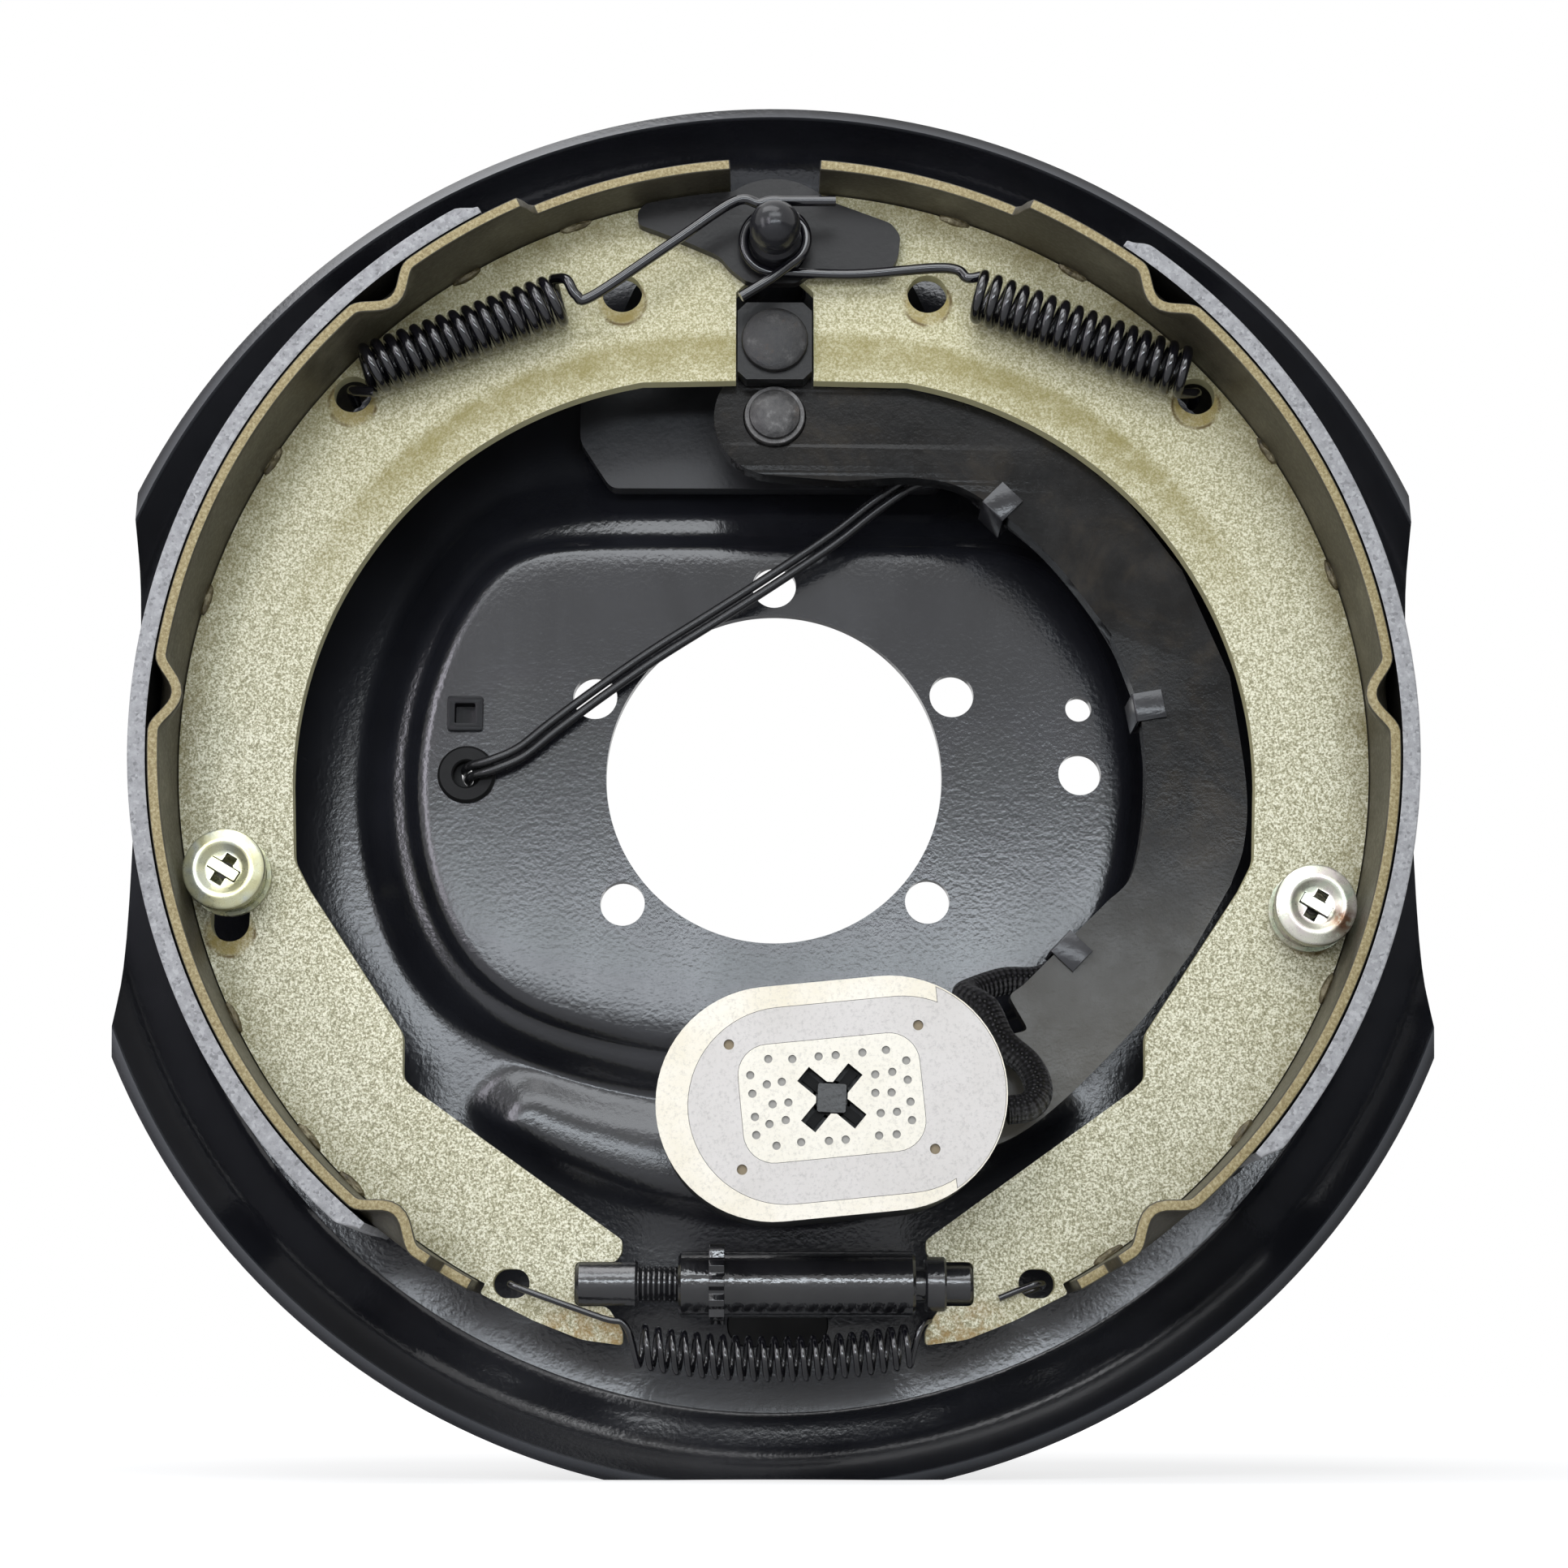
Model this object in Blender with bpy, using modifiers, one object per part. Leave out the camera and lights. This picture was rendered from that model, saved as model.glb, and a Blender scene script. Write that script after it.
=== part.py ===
"""Electric trailer brake for a 12 inch drum, with shoes 2 inches wide.

The brake's axis is world Y and the shoes face -Y. All the pieces hang on one empty that is turned
so that its X is world X, its Y is world Z (up) and its Z is the height above the mounting face,
towards the drum. Lengths are in metres.
"""
import math

import bmesh
import bpy
from mathutils import Matrix, Vector

# General clearances and fineness
GAP = 0.0003
ROUND_STEPS = 24
SMALL_STEPS = 14
MERGE = 0.00001

# Drum and shoes
DRUM_RADIUS = 0.1524
DRUM_GAP = 0.0004
LINING_THICK = 0.0043
TABLE_THICK = 0.0027
SHOE_WIDTH = 0.0508
SHOE_REAR = 0.0070
WEB_THICK = 0.0040
LINING_RADIUS = DRUM_RADIUS - DRUM_GAP
TABLE_RADIUS = LINING_RADIUS - LINING_THICK - GAP
WEB_RADIUS = TABLE_RADIUS - TABLE_THICK - GAP
SHOE_FRONT = SHOE_REAR + SHOE_WIDTH
WEB_REAR = (SHOE_REAR + SHOE_FRONT - WEB_THICK) / 2
WEB_FRONT = WEB_REAR + WEB_THICK
PRIMARY_LINING = (-42.0, 55.0)
SECONDARY_LINING = (-51.0, 61.0)
TABLE_TOP = 85.6
TABLE_FOOT = -61.5
TABLE_STEP_TOP = 64.5
TABLE_STEP_FOOT = -57.5
TABLE_STEP_DEPTH = 0.0085
DENT_ANGLES = (49.0, 3.5, -52.5)
DENT_DEPTH = 0.0050
DENT_HALF_ANGLE = 3.6
DENT_REACH = 0.0130
TABLE_BENDS = (40.0, 32.0, 24.0, 16.0, -5.0, -13.0, -21.0, -29.0, -37.0, -44.0, 58.0, 71.0, 78.0)

# Backing plate
PLATE_THICK = 0.0032
PLATE_LIP = 0.0256
PLATE_RADIUS = DRUM_RADIUS + PLATE_LIP
RIM_FRONT = 0.0130
FLOOR_FRONT = -0.0040
HUB_RADIUS = 0.0425
MOUND_RADIUS = 0.0912
MOUND_TOP = 0.0618
MOUND_FOOT = 0.0700
MOUND_SLOPE = 0.0150
MOUND_EDGE = 0.0022
SIDE_LIP = 0.0100
FLAT_SIDE = DRUM_RADIUS + SIDE_LIP
FOOT_TRIM = 0.0050
FLAT_FOOT = PLATE_RADIUS - FOOT_TRIM
CHANNEL_RADIUS = 0.1200
STEP_INSET = 0.0210
STEP_RADIUS = PLATE_RADIUS - STEP_INSET
STEP_RISE = 0.0014
FLARE_INSET = 0.0090
FLARE_RADIUS = PLATE_RADIUS - FLARE_INSET
FLARE_RISE = 0.0050
BEAD_RISE = 0.0035
BEAD_HALF_ANGLE = 43.0
BOLT_CIRCLE = 0.0500
BOLT_ANGLES = (90.0, 155.6, 220.5, 320.4, 25.2)
BOLT_HOLE = 0.0056
SPARE_HOLE_AT = (0.0775, 0.0009)
SPARE_HOLE = 0.0054
SMALL_HOLE_AT = (0.0775, 0.0179)
SMALL_HOLE = 0.0033
REST_ANGLES = (52.0, 8.0, -40.0)
REST_RADIUS = 0.0060
PLATE_STEPS = 56

# Anchor bracket, anchor post and lever pivot
BRACKET_HALF = 0.0500
BRACKET_FOOT = 0.0746
BRACKET_TOP = 0.1420
BRACKET_THICK = 0.0050
BRACKET_FLANGE = 0.0040
POST_UP = 0.1288
POST_RADIUS = 0.0080
POST_GROOVE = 0.0073
POST_NOSE = 0.0061
POST_GROOVE_LENGTH = 0.0115
POST_NOSE_LENGTH = 0.0065
PIVOT_UP = 0.0865
PIVOT_PIN = 0.0060
BUSHING_WALL = 0.0013
BUSHING_FLANGE = 0.0076
RIVET_SPREAD = 0.0020
RIVET_THICK = 0.0022
GUIDE_THICK = 0.0030

# Lever
LEVER_THICK = 0.0060
LEVER_BOSS = 0.0152
LEVER_FRONT = WEB_REAR - GAP
LEVER_REAR = LEVER_FRONT - LEVER_THICK
BLOCK_UP = 0.1045
BLOCK_HALF_WIDE = 0.0093
BLOCK_HALF_TALL = 0.0101
BLOCK_CHAMFER = 0.0022
BLOCK_THICK = 0.0055
STUD_RADIUS = 0.0045
STUD_HEAD = 0.0083
STUD_HEAD_THICK = 0.0016
WEB_MOUTH = BLOCK_HALF_WIDE + 0.0004

# Magnet
MAGNET_AT = (0.0130, -0.0868)
MAGNET_LONG = 0.0804
MAGNET_WIDE = 0.0535
MAGNET_TILT = 5.5
MAGNET_DEEP = 0.0240
MAGNET_FRONT = 0.0620
MAGNET_WALL = 0.0075
MAGNET_BACK = 0.0040
CORE_LONG = 0.0416
CORE_WIDE = 0.0270
CORE_CORNER = 0.0070
COIL_HEIGHT = 0.0140
PIN_RADIUS = 0.0038
PIN_SQUARE = 0.0060
CROSS_REACH = 0.0085
CROSS_ARM = 0.0042
CROSS_DEPTH = 0.0045
MAGNET_TRAVEL = 0.0035
MAGNET_SPRING_RADIUS = 0.0075
MAGNET_SPRING_WIRE = 0.0007

# Return springs
SPRING_WIRE = 0.0013
SPRING_RADIUS = 0.0055
SPRING_TURNS = 16
SPRING_HOLE_AT = (0.1050, 0.0907)
SPRING_OUTER_AT = (0.0992, 0.0950)
SPRING_HOLE = 0.0047
TOOL_HOLE_AT = (0.0383, 0.1175)
TOOL_HOLE = 0.0050

# Adjuster
ADJUSTER_UP = -0.1277
ADJUSTER_HALF = 0.0464
STUD_END_RADIUS = 0.0058
STUD_END_LENGTH = 0.0145
THREAD_RADIUS = 0.0043
THREAD_SHOWN = 0.0095
BARREL_RADIUS = 0.0077
BARREL_GAP = 0.0023
STAR_RADIUS = 0.0094
STAR_ROOT = 0.0080
STAR_TEETH = 12
STAR_INSET = 0.0072
STAR_THICK = 0.0036
SOCKET_COLLAR = 0.0068
SOCKET_COLLAR_LENGTH = 0.0049
SOCKET_END = 0.0048
SOCKET_END_LENGTH = 0.0062
SOCKET_STEM = 0.0180
SCREW_GAP = 0.0097
SLOT_HALF = 0.0051
SLOT_KEY = 0.0044
FOOT_WIRE = 0.00075
FOOT_SPRING_RADIUS = 0.0046
FOOT_SPRING_TURNS = 21
FOOT_SPRING_HALF = 0.0315
FOOT_SPRING_UP = -0.1420
FOOT_SPRING_SAG = 0.0030
FOOT_HOLE_AT = (0.0615, -0.1276)
FOOT_HOLE_LONG = 0.0086
FOOT_HOLE_WIDE = 0.0068

# Hold-downs
SECONDARY_HOLD_AT = (-0.1304, -0.0313)
PRIMARY_HOLD_AT = (0.1282, -0.0396)
HOLD_PIN = 0.0020
HOLD_CUP = 0.0098
HOLD_CUP_DEEP = 0.0022
HOLD_SPRING_RADIUS = 0.0066
HOLD_SPRING_WIRE = 0.0008
HOLD_HEIGHT = 0.0125
HOLD_HOLE = 0.0046

# Wiring
LEAD_RADIUS = 0.00115
SLEEVE_RADIUS = 0.0034
GROMMET_AT = (-0.0778, 0.0005)
GROMMET_HOLE = 0.0058
GROMMET_LIP = 0.0074
GROMMET_BORE = 0.0034
PLUG_AT = (-0.0785, 0.0163)
PLUG_HALF = 0.0034
SLOT_PLUG_AT = (0.0010, -0.1363)
SLOT_PLUG_LONG = 0.0250
SLOT_PLUG_WIDE = 0.0110

for leftover in list(bpy.data.objects):
    bpy.data.objects.remove(leftover, do_unlink=True)


def make_collection(name):
    """Returns a new collection that hangs in the scene."""
    found = bpy.data.collections.new(name)
    bpy.context.scene.collection.children.link(found)
    return found


PARTS = make_collection("electric_trailer_brake")
CUTTERS = make_collection("cutters")


def make_material(name, colour, roughness, metallic=0.0):
    """Returns a Principled material of one colour."""
    made = bpy.data.materials.new(name)
    made.use_nodes = True
    shader = made.node_tree.nodes["Principled BSDF"]
    shader.inputs["Base Color"].default_value = (*colour, 1.0)
    shader.inputs["Roughness"].default_value = roughness
    shader.inputs["Metallic"].default_value = metallic
    made.diffuse_color = (*colour, 1.0)
    return made


def make_empty(name, parent, at):
    """Returns an empty at a place that is given in the brake's frame."""
    made = bpy.data.objects.new(name, None)
    made.empty_display_size = 0.01
    PARTS.objects.link(made)
    made.parent = parent
    made["at"] = at
    made.location = at
    return made


FRAME = make_empty("brake_frame", None, (0.0, 0.0, 0.0))
FRAME.rotation_euler = (math.radians(90), 0.0, 0.0)


def finish(thing, colour, parent):
    """Hangs a finished piece on its empty without moving it, and gives it its own material."""
    roughness, metallic = (0.4, 0.6) if colour[0] > 0.15 else (0.35, 0.0)
    thing.data.materials.clear()
    thing.data.materials.append(make_material(thing.name, colour, roughness, metallic))
    thing.parent = parent
    if parent is not FRAME:
        thing.location = Vector(thing.location) - Vector(parent["at"])
    return thing


def as_cutter(thing):
    """Moves a shape to the cutters, where it is only used by other pieces."""
    for owner in list(thing.users_collection):
        owner.objects.unlink(thing)
    CUTTERS.objects.link(thing)
    thing.parent = FRAME
    thing.hide_render = True
    thing.display_type = "WIRE"
    return thing


def boolean(thing, other, operation):
    """Cuts another shape from a piece, or joins it to the piece."""
    as_cutter(other)
    step = thing.modifiers.new(other.name, "BOOLEAN")
    step.operation = operation
    step.solver = "EXACT"
    step.object = other


def cut(thing, *others):
    for other in others:
        boolean(thing, other, "DIFFERENCE")


def join(thing, *others):
    for other in others:
        boolean(thing, other, "UNION")


def polar(radius, degrees):
    angle = math.radians(degrees)
    return (radius * math.cos(angle), radius * math.sin(angle))


def arc(centre, radius, start, end, count):
    """Points on an arc from one angle to another, in degrees, both ends among them."""
    points = []
    for k in range(count + 1):
        x, y = polar(radius, start + (end - start) * k / count)
        points.append((centre[0] + x, centre[1] + y))
    return points


def arc_through(first, middle, last, count):
    """Points on the arc through three points, both ends among them."""
    (ax, ay), (bx, by), (cx, cy) = first, middle, last
    d = 2 * (ax * (by - cy) + bx * (cy - ay) + cx * (ay - by))
    a, b, c = ax * ax + ay * ay, bx * bx + by * by, cx * cx + cy * cy
    ux = (a * (by - cy) + b * (cy - ay) + c * (ay - by)) / d
    uy = (a * (cx - bx) + b * (ax - cx) + c * (bx - ax)) / d
    start = math.degrees(math.atan2(ay - uy, ax - ux))
    turn = math.degrees(math.atan2(cy - uy, cx - ux)) - start
    turn = (turn + 180) % 360 - 180
    return arc((ux, uy), math.hypot(ax - ux, ay - uy), start, start + turn, count)


def curved(points, per_span):
    """Points on a smooth curve through the given points, in the plane or in space."""
    points = [Vector(p) for p in points]
    ends = [2 * points[0] - points[1]] + points + [2 * points[-1] - points[-2]]
    found = []
    for k in range(1, len(ends) - 2):
        p, q, r, s = ends[k - 1 : k + 3]
        for j in range(per_span):
            t = j / per_span
            found.append(
                0.5
                * (2 * q + (r - p) * t + (2 * p - 5 * q + 4 * r - s) * t * t + (3 * q - p - 3 * r + s) * t**3)
            )
    found.append(points[-1])
    return [tuple(p) for p in found]


def stadium(centre, length, width, tilt, count=8):
    """A loop with straight long sides and round ends."""
    half, radius = (length - width) / 2, width / 2
    turn = Matrix.Rotation(math.radians(tilt), 2)
    loop = arc((half, 0.0), radius, -90, 90, count) + arc((-half, 0.0), radius, 90, 270, count)
    return [tuple(turn @ Vector(p) + Vector(centre)) for p in loop]


def soft_box(centre, length, width, corner, tilt, count=2):
    """A rectangle with round corners."""
    x, y = length / 2 - corner, width / 2 - corner
    loop = arc((x, -y), corner, -90, 0, count) + arc((x, y), corner, 0, 90, count)
    loop += arc((-x, y), corner, 90, 180, count) + arc((-x, -y), corner, 180, 270, count)
    turn = Matrix.Rotation(math.radians(tilt), 2)
    return [tuple(turn @ Vector(p) + Vector(centre)) for p in loop]


def mirrored(points, side):
    return [(side * p[0], *p[1:]) for p in points]


def to_mesh(name, curve_object):
    """Replaces a curve object with a welded mesh object of the same name."""
    bpy.context.view_layer.update()
    found = curve_object.evaluated_get(bpy.context.evaluated_depsgraph_get())
    mesh = bpy.data.meshes.new_from_object(found)
    weld = bmesh.new()
    weld.from_mesh(mesh)
    bmesh.ops.remove_doubles(weld, verts=weld.verts, dist=MERGE)
    bmesh.ops.recalc_face_normals(weld, faces=weld.faces)
    weld.to_mesh(mesh)
    weld.free()
    place = curve_object.matrix_world.copy()
    bpy.data.objects.remove(curve_object, do_unlink=True)
    made = bpy.data.objects.new(name, mesh)
    PARTS.objects.link(made)
    made.matrix_world = place
    mesh.name = name
    return made


def flat(name, loops, low, high):
    """A flat piece between two heights. The first loop is its outline, the others are holes."""
    drawn = bpy.data.curves.new(name, "CURVE")
    drawn.dimensions = "2D"
    drawn.fill_mode = "BOTH"
    drawn.extrude = (high - low) / 2
    for loop in loops:
        line = drawn.splines.new("POLY")
        line.points.add(len(loop) - 1)
        for point, (x, y) in zip(line.points, loop):
            point.co = (x, y, 0.0, 1.0)
        line.use_cyclic_u = True
    held = bpy.data.objects.new(name, drawn)
    PARTS.objects.link(held)
    held.location = (0.0, 0.0, (low + high) / 2)
    return to_mesh(name, held)


def turned(name, profile, at=(0.0, 0.0, 0.0), steps=ROUND_STEPS, closed=False, lying=False):
    """A turned piece. The profile's (radius, height) points run down its outer side."""
    mesh = bpy.data.meshes.new(name)
    edges = [(k, k + 1) for k in range(len(profile) - 1)]
    if closed:
        edges.append((len(profile) - 1, 0))
    mesh.from_pydata([(r, 0.0, h) for r, h in profile], edges, [])
    made = bpy.data.objects.new(name, mesh)
    PARTS.objects.link(made)
    made.location = at
    if lying:
        made.rotation_euler = (0.0, math.radians(90), 0.0)
    spin = made.modifiers.new("turn", "SCREW")
    spin.steps = steps
    spin.render_steps = steps
    spin.use_merge_vertices = True
    spin.merge_threshold = MERGE
    return made


def ring(name, inner, outer, low, high, at, steps=ROUND_STEPS, lying=False):
    profile = [(outer, high), (outer, low), (inner, low), (inner, high)]
    return turned(name, profile, at, steps, closed=True, lying=lying)


def rod(name, radius, low, high, at, steps=SMALL_STEPS, lying=False):
    profile = [(0.0, high), (radius, high), (radius, low), (0.0, low)]
    return turned(name, profile, at, steps, lying=lying)


def wire(name, points, radius, resolution=0):
    """A round wire along a list of points in space."""
    drawn = bpy.data.curves.new(name, "CURVE")
    drawn.dimensions = "3D"
    drawn.bevel_depth = radius
    drawn.bevel_resolution = resolution
    drawn.use_fill_caps = True
    line = drawn.splines.new("POLY")
    line.points.add(len(points) - 1)
    for point, place in zip(line.points, points):
        point.co = (*place, 1.0)
    made = bpy.data.objects.new(name, drawn)
    PARTS.objects.link(made)
    return to_mesh(name, made)


def coil(start, end, radius, turns, from_angle=0.0, sag=0.0, per_turn=7):
    """Points of a helix about the line from start to end. Angle 90 is towards the drum."""
    start, end = Vector(start), Vector(end)
    along = (end - start).normalized()
    front = Vector((0.0, 0.0, 1.0))
    if abs(along.dot(front)) > 0.9:
        front = Vector((0.0, 1.0, 0.0))
    across = front.cross(along).normalized()
    count = round(turns * per_turn)
    points = []
    for k in range(count + 1):
        t = k / count
        angle = math.radians(from_angle) + 2 * math.pi * turns * t
        centre = start.lerp(end, t) - Vector((0.0, 4 * sag * t * (1 - t), 0.0))
        points.append(centre + radius * (math.cos(angle) * across + math.sin(angle) * front))
    return [tuple(p) for p in points]


def surface(name, rows, thickness, offset):
    """An open skin through rows of points, made solid."""
    mesh = bpy.data.meshes.new(name)
    shape = bmesh.new()
    grid = [[shape.verts.new(p) for p in row] for row in rows]
    for one, two in zip(grid, grid[1:]):
        for k in range(len(one) - 1):
            shape.faces.new((one[k], one[k + 1], two[k + 1], two[k]))
    shape.to_mesh(mesh)
    shape.free()
    made = bpy.data.objects.new(name, mesh)
    PARTS.objects.link(made)
    solid = made.modifiers.new("solid", "SOLIDIFY")
    solid.thickness = thickness
    solid.offset = offset
    solid.use_even_offset = True
    return made


def smallest(values, sharpness=16.0):
    """A smooth minimum, which rounds the corners where outlines meet."""
    return sum(v**-sharpness for v in values) ** (-1 / sharpness)


def mound_radius(degrees, grown=0.0):
    """The outline of the raised mounting flat: a circle with a straight top and a flatter foot."""
    c, s = math.cos(math.radians(degrees)), math.sin(math.radians(degrees))
    limits = [MOUND_RADIUS + grown]
    if s > 0.05:
        limits.append((MOUND_TOP + grown * 1.3) / s)
    if s < -0.05:
        foot = MOUND_FOOT + grown * 0.9
        bow = 0.0025 * 1000
        limits.append(2 * foot / (-s + math.sqrt(s * s + 4 * bow * foot * c * c)))
    return smallest(limits)


def plate_profile(degrees):
    """The front side of the backing plate from its hub hole out to its rim, as (radius, height)."""
    mound, foot = mound_radius(degrees), mound_radius(degrees, MOUND_SLOPE)
    off_bottom = abs((degrees - 270 + 180) % 360 - 180)
    bead = BEAD_RISE * max(0.0, min(1.0, (BEAD_HALF_ANGLE - off_bottom) / 6))
    wide = CHANNEL_RADIUS - foot
    return [
        (HUB_RADIUS, PLATE_THICK),
        (mound - MOUND_EDGE, PLATE_THICK),
        (mound, PLATE_THICK - 0.0008),
        (foot - MOUND_EDGE, FLOOR_FRONT + 0.0010),
        (foot, FLOOR_FRONT),
        (foot + 0.30 * wide, FLOOR_FRONT + bead),
        (foot + 0.62 * wide, FLOOR_FRONT + bead),
        (foot + 0.80 * wide, FLOOR_FRONT),
        (STEP_RADIUS, FLOOR_FRONT),
        (STEP_RADIUS + STEP_RISE, FLOOR_FRONT + STEP_RISE),
        (FLARE_RADIUS, FLOOR_FRONT + FLARE_RISE),
        (PLATE_RADIUS - PLATE_THICK, RIM_FRONT),
    ]


def thickened(profile, thickness):
    """Closes an open profile with a copy of it, moved back by the thickness, square to each stretch."""
    back = []
    for k, (x, y) in enumerate(profile):
        before = Vector(profile[k]) - Vector(profile[k - 1]) if k else None
        after = Vector(profile[k + 1]) - Vector(profile[k]) if k + 1 < len(profile) else None
        one = (before or after).normalized()
        two = (after or before).normalized()
        middle = (one + two).normalized()
        reach = thickness / middle.dot(one)
        back.append((x + middle.y * reach, y - middle.x * reach))
    return profile + back[::-1]


def loft(name, rows):
    """A closed skin through closed rows of points that run round in a ring."""
    mesh = bpy.data.meshes.new(name)
    shape = bmesh.new()
    grid = [[shape.verts.new(p) for p in row] for row in rows]
    for one, two in zip(grid, grid[1:] + grid[:1]):
        for k in range(len(one)):
            shape.faces.new((one[k - 1], one[k], two[k], two[k - 1]))
    bmesh.ops.recalc_face_normals(shape, faces=shape.faces)
    shape.to_mesh(mesh)
    shape.free()
    made = bpy.data.objects.new(name, mesh)
    PARTS.objects.link(made)
    return made


def plate_hole(name, at, radius, steps=SMALL_STEPS):
    """A round cutter, turned a little so that none of its edges lies on an edge of the plate."""
    hole = rod(name, radius, -0.03, 0.03, (*at, 0.0), steps)
    hole.rotation_euler = (0.0, 0.0, math.radians(7.0))
    return hole


def backing_plate():
    rows = []
    for k in range(PLATE_STEPS):
        degrees = 360.0 * k / PLATE_STEPS
        section = thickened(plate_profile(degrees), PLATE_THICK)
        rows.append([(*polar(r, degrees), h) for r, h in section])
    plate = loft("backing_plate", rows)
    reach, far = PLATE_RADIUS, 2 * PLATE_RADIUS
    for side in (-1, 1):
        edge = mirrored([(FLAT_SIDE, -reach), (far, -reach), (far, reach), (FLAT_SIDE, reach)], side)
        cut(plate, flat("side_trim", [edge], -0.03, 0.03))
    edge = [(-reach, -far), (reach, -far), (reach, -FLAT_FOOT), (-reach, -FLAT_FOOT)]
    cut(plate, flat("foot_trim", [edge], -0.03, 0.03))
    for degrees in BOLT_ANGLES:
        cut(plate, plate_hole("bolt_hole", polar(BOLT_CIRCLE, degrees), BOLT_HOLE))
    cut(plate, plate_hole("spare_hole", SPARE_HOLE_AT, SPARE_HOLE))
    cut(plate, plate_hole("small_hole", SMALL_HOLE_AT, SMALL_HOLE))
    cut(plate, plate_hole("grommet_hole", GROMMET_AT, GROMMET_HOLE))
    cut(plate, plate_hole("post_hole", (0.0, POST_UP), POST_RADIUS + GAP))
    cut(plate, plate_hole("pivot_hole", (0.0, PIVOT_UP), PIVOT_PIN + GAP))
    for at in (SECONDARY_HOLD_AT, PRIMARY_HOLD_AT):
        cut(plate, plate_hole("hold_hole", at, HOLD_PIN + GAP, 12))
    square = soft_box(PLUG_AT, 2 * PLUG_HALF, 2 * PLUG_HALF, 0.0006, 0)
    cut(plate, flat("plug_hole", [square], -0.03, 0.03))
    slot = stadium(SLOT_PLUG_AT, SLOT_PLUG_LONG, SLOT_PLUG_WIDE, 0, 5)
    cut(plate, flat("adjuster_slot", [slot], -0.03, 0.03))
    for side in (-1, 1):
        for degrees in REST_ANGLES:
            x, y = polar(TABLE_RADIUS - REST_RADIUS / 2, degrees)
            low, high = FLOOR_FRONT - 0.001, SHOE_REAR - GAP
            shape = [(0.0, high), (REST_RADIUS, high), (REST_RADIUS * 1.4, low), (0.0, low)]
            join(plate, turned("shoe_rest", shape, (side * x, y, 0.0), 12))
    return finish(plate, (0.02, 0.021, 0.024), FRAME)


def rivet_profile(radius, front, rear_face):
    """A shank with a spread head behind the plate. Returns (radius, height) points."""
    back = rear_face - GAP
    return [
        (0.0, front),
        (radius, front),
        (radius, back),
        (radius + RIVET_SPREAD, back),
        (radius + RIVET_SPREAD * 0.5, back - RIVET_THICK),
        (0.0, back - RIVET_THICK),
    ]


BRACKET_REAR = PLATE_THICK + GAP
BRACKET_FRONT = BRACKET_REAR + BRACKET_THICK
FLOOR_REAR = FLOOR_FRONT - PLATE_THICK
GUIDE_REAR = WEB_FRONT + GAP
GUIDE_FRONT = GUIDE_REAR + GUIDE_THICK
GROOVE_REAR = GUIDE_FRONT + GAP
GROOVE_FRONT = GROOVE_REAR + POST_GROOVE_LENGTH


def anchor_bracket():
    half, foot, top = BRACKET_HALF, BRACKET_FOOT, BRACKET_TOP
    right = [(half - 0.0080, foot), (half, foot + 0.0125), (half, foot + 0.0235)]
    right += [(half - 0.0140, top - 0.0120), (half - 0.0260, top)]
    outline = right + mirrored(right[::-1], -1)
    holes = [
        arc((0.0, POST_UP), POST_RADIUS + GAP, 0, 360 - 360 / SMALL_STEPS, SMALL_STEPS - 1),
        arc((0.0, PIVOT_UP), PIVOT_PIN + GAP, 0, 360 - 360 / SMALL_STEPS, SMALL_STEPS - 1),
    ]
    bracket = flat("anchor_bracket", [outline] + holes, BRACKET_REAR, BRACKET_FRONT)
    for side in (-1, 1):
        low, high = foot + 0.0150, foot + 0.0235
        leg = [(half - BRACKET_FLANGE, low), (half, low), (half, high), (half - BRACKET_FLANGE, high)]
        seat = FLOOR_FRONT + GAP
        join(bracket, flat("bracket_leg", [mirrored(leg, side)], seat, BRACKET_REAR + 0.002))
    return finish(bracket, (0.02, 0.02, 0.022), FRAME)


def anchor_post():
    nose = [
        (0.0, GROOVE_FRONT + 0.0010 + POST_NOSE_LENGTH),
        (POST_NOSE * 0.62, GROOVE_FRONT + 0.0010 + POST_NOSE_LENGTH * 0.86),
        (POST_NOSE * 0.93, GROOVE_FRONT + 0.0010 + POST_NOSE_LENGTH * 0.5),
        (POST_NOSE, GROOVE_FRONT + 0.0010),
        (POST_RADIUS - 0.0003, GROOVE_FRONT + 0.0010),
        (POST_RADIUS - 0.0003, GROOVE_FRONT),
        (POST_GROOVE, GROOVE_FRONT),
        (POST_GROOVE, GROOVE_REAR),
    ]
    shank = rivet_profile(POST_RADIUS, GROOVE_REAR, FLOOR_REAR)[1:]
    post = turned("anchor_post", nose + shank, (0.0, POST_UP, 0.0), SMALL_STEPS)
    return finish(post, (0.05, 0.05, 0.055), FRAME)


def guide_plate():
    """The butterfly plate that keeps the shoes' upper ends in line."""
    left = arc((0.0, 0.0), WEB_RADIUS - 0.0006, 94.6, 103.1, 3)
    left += [(-0.0345, 0.1380), (-0.0343, 0.1345), (-0.0225, 0.1300)]
    left += [(-0.0140, 0.1262), (-0.0110, 0.1225), (-0.0065, 0.1190)]
    right = [(0.0055, 0.1190), (0.0088, 0.1217), (0.0285, 0.1217), (0.0310, 0.1262), (0.0315, 0.1318)]
    right += [(0.0292, 0.1350), (0.0138, 0.1409)]
    hump = arc((0.0, POST_UP), 0.0180, 42, 126, 8)
    hole = arc((0.0, POST_UP), POST_RADIUS + GAP, 0, 360 - 360 / SMALL_STEPS, SMALL_STEPS - 1)
    plate = flat("guide_plate", [left + right + hump, hole], GUIDE_REAR, GUIDE_FRONT)
    return finish(plate, (0.03, 0.03, 0.034), FRAME)


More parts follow.
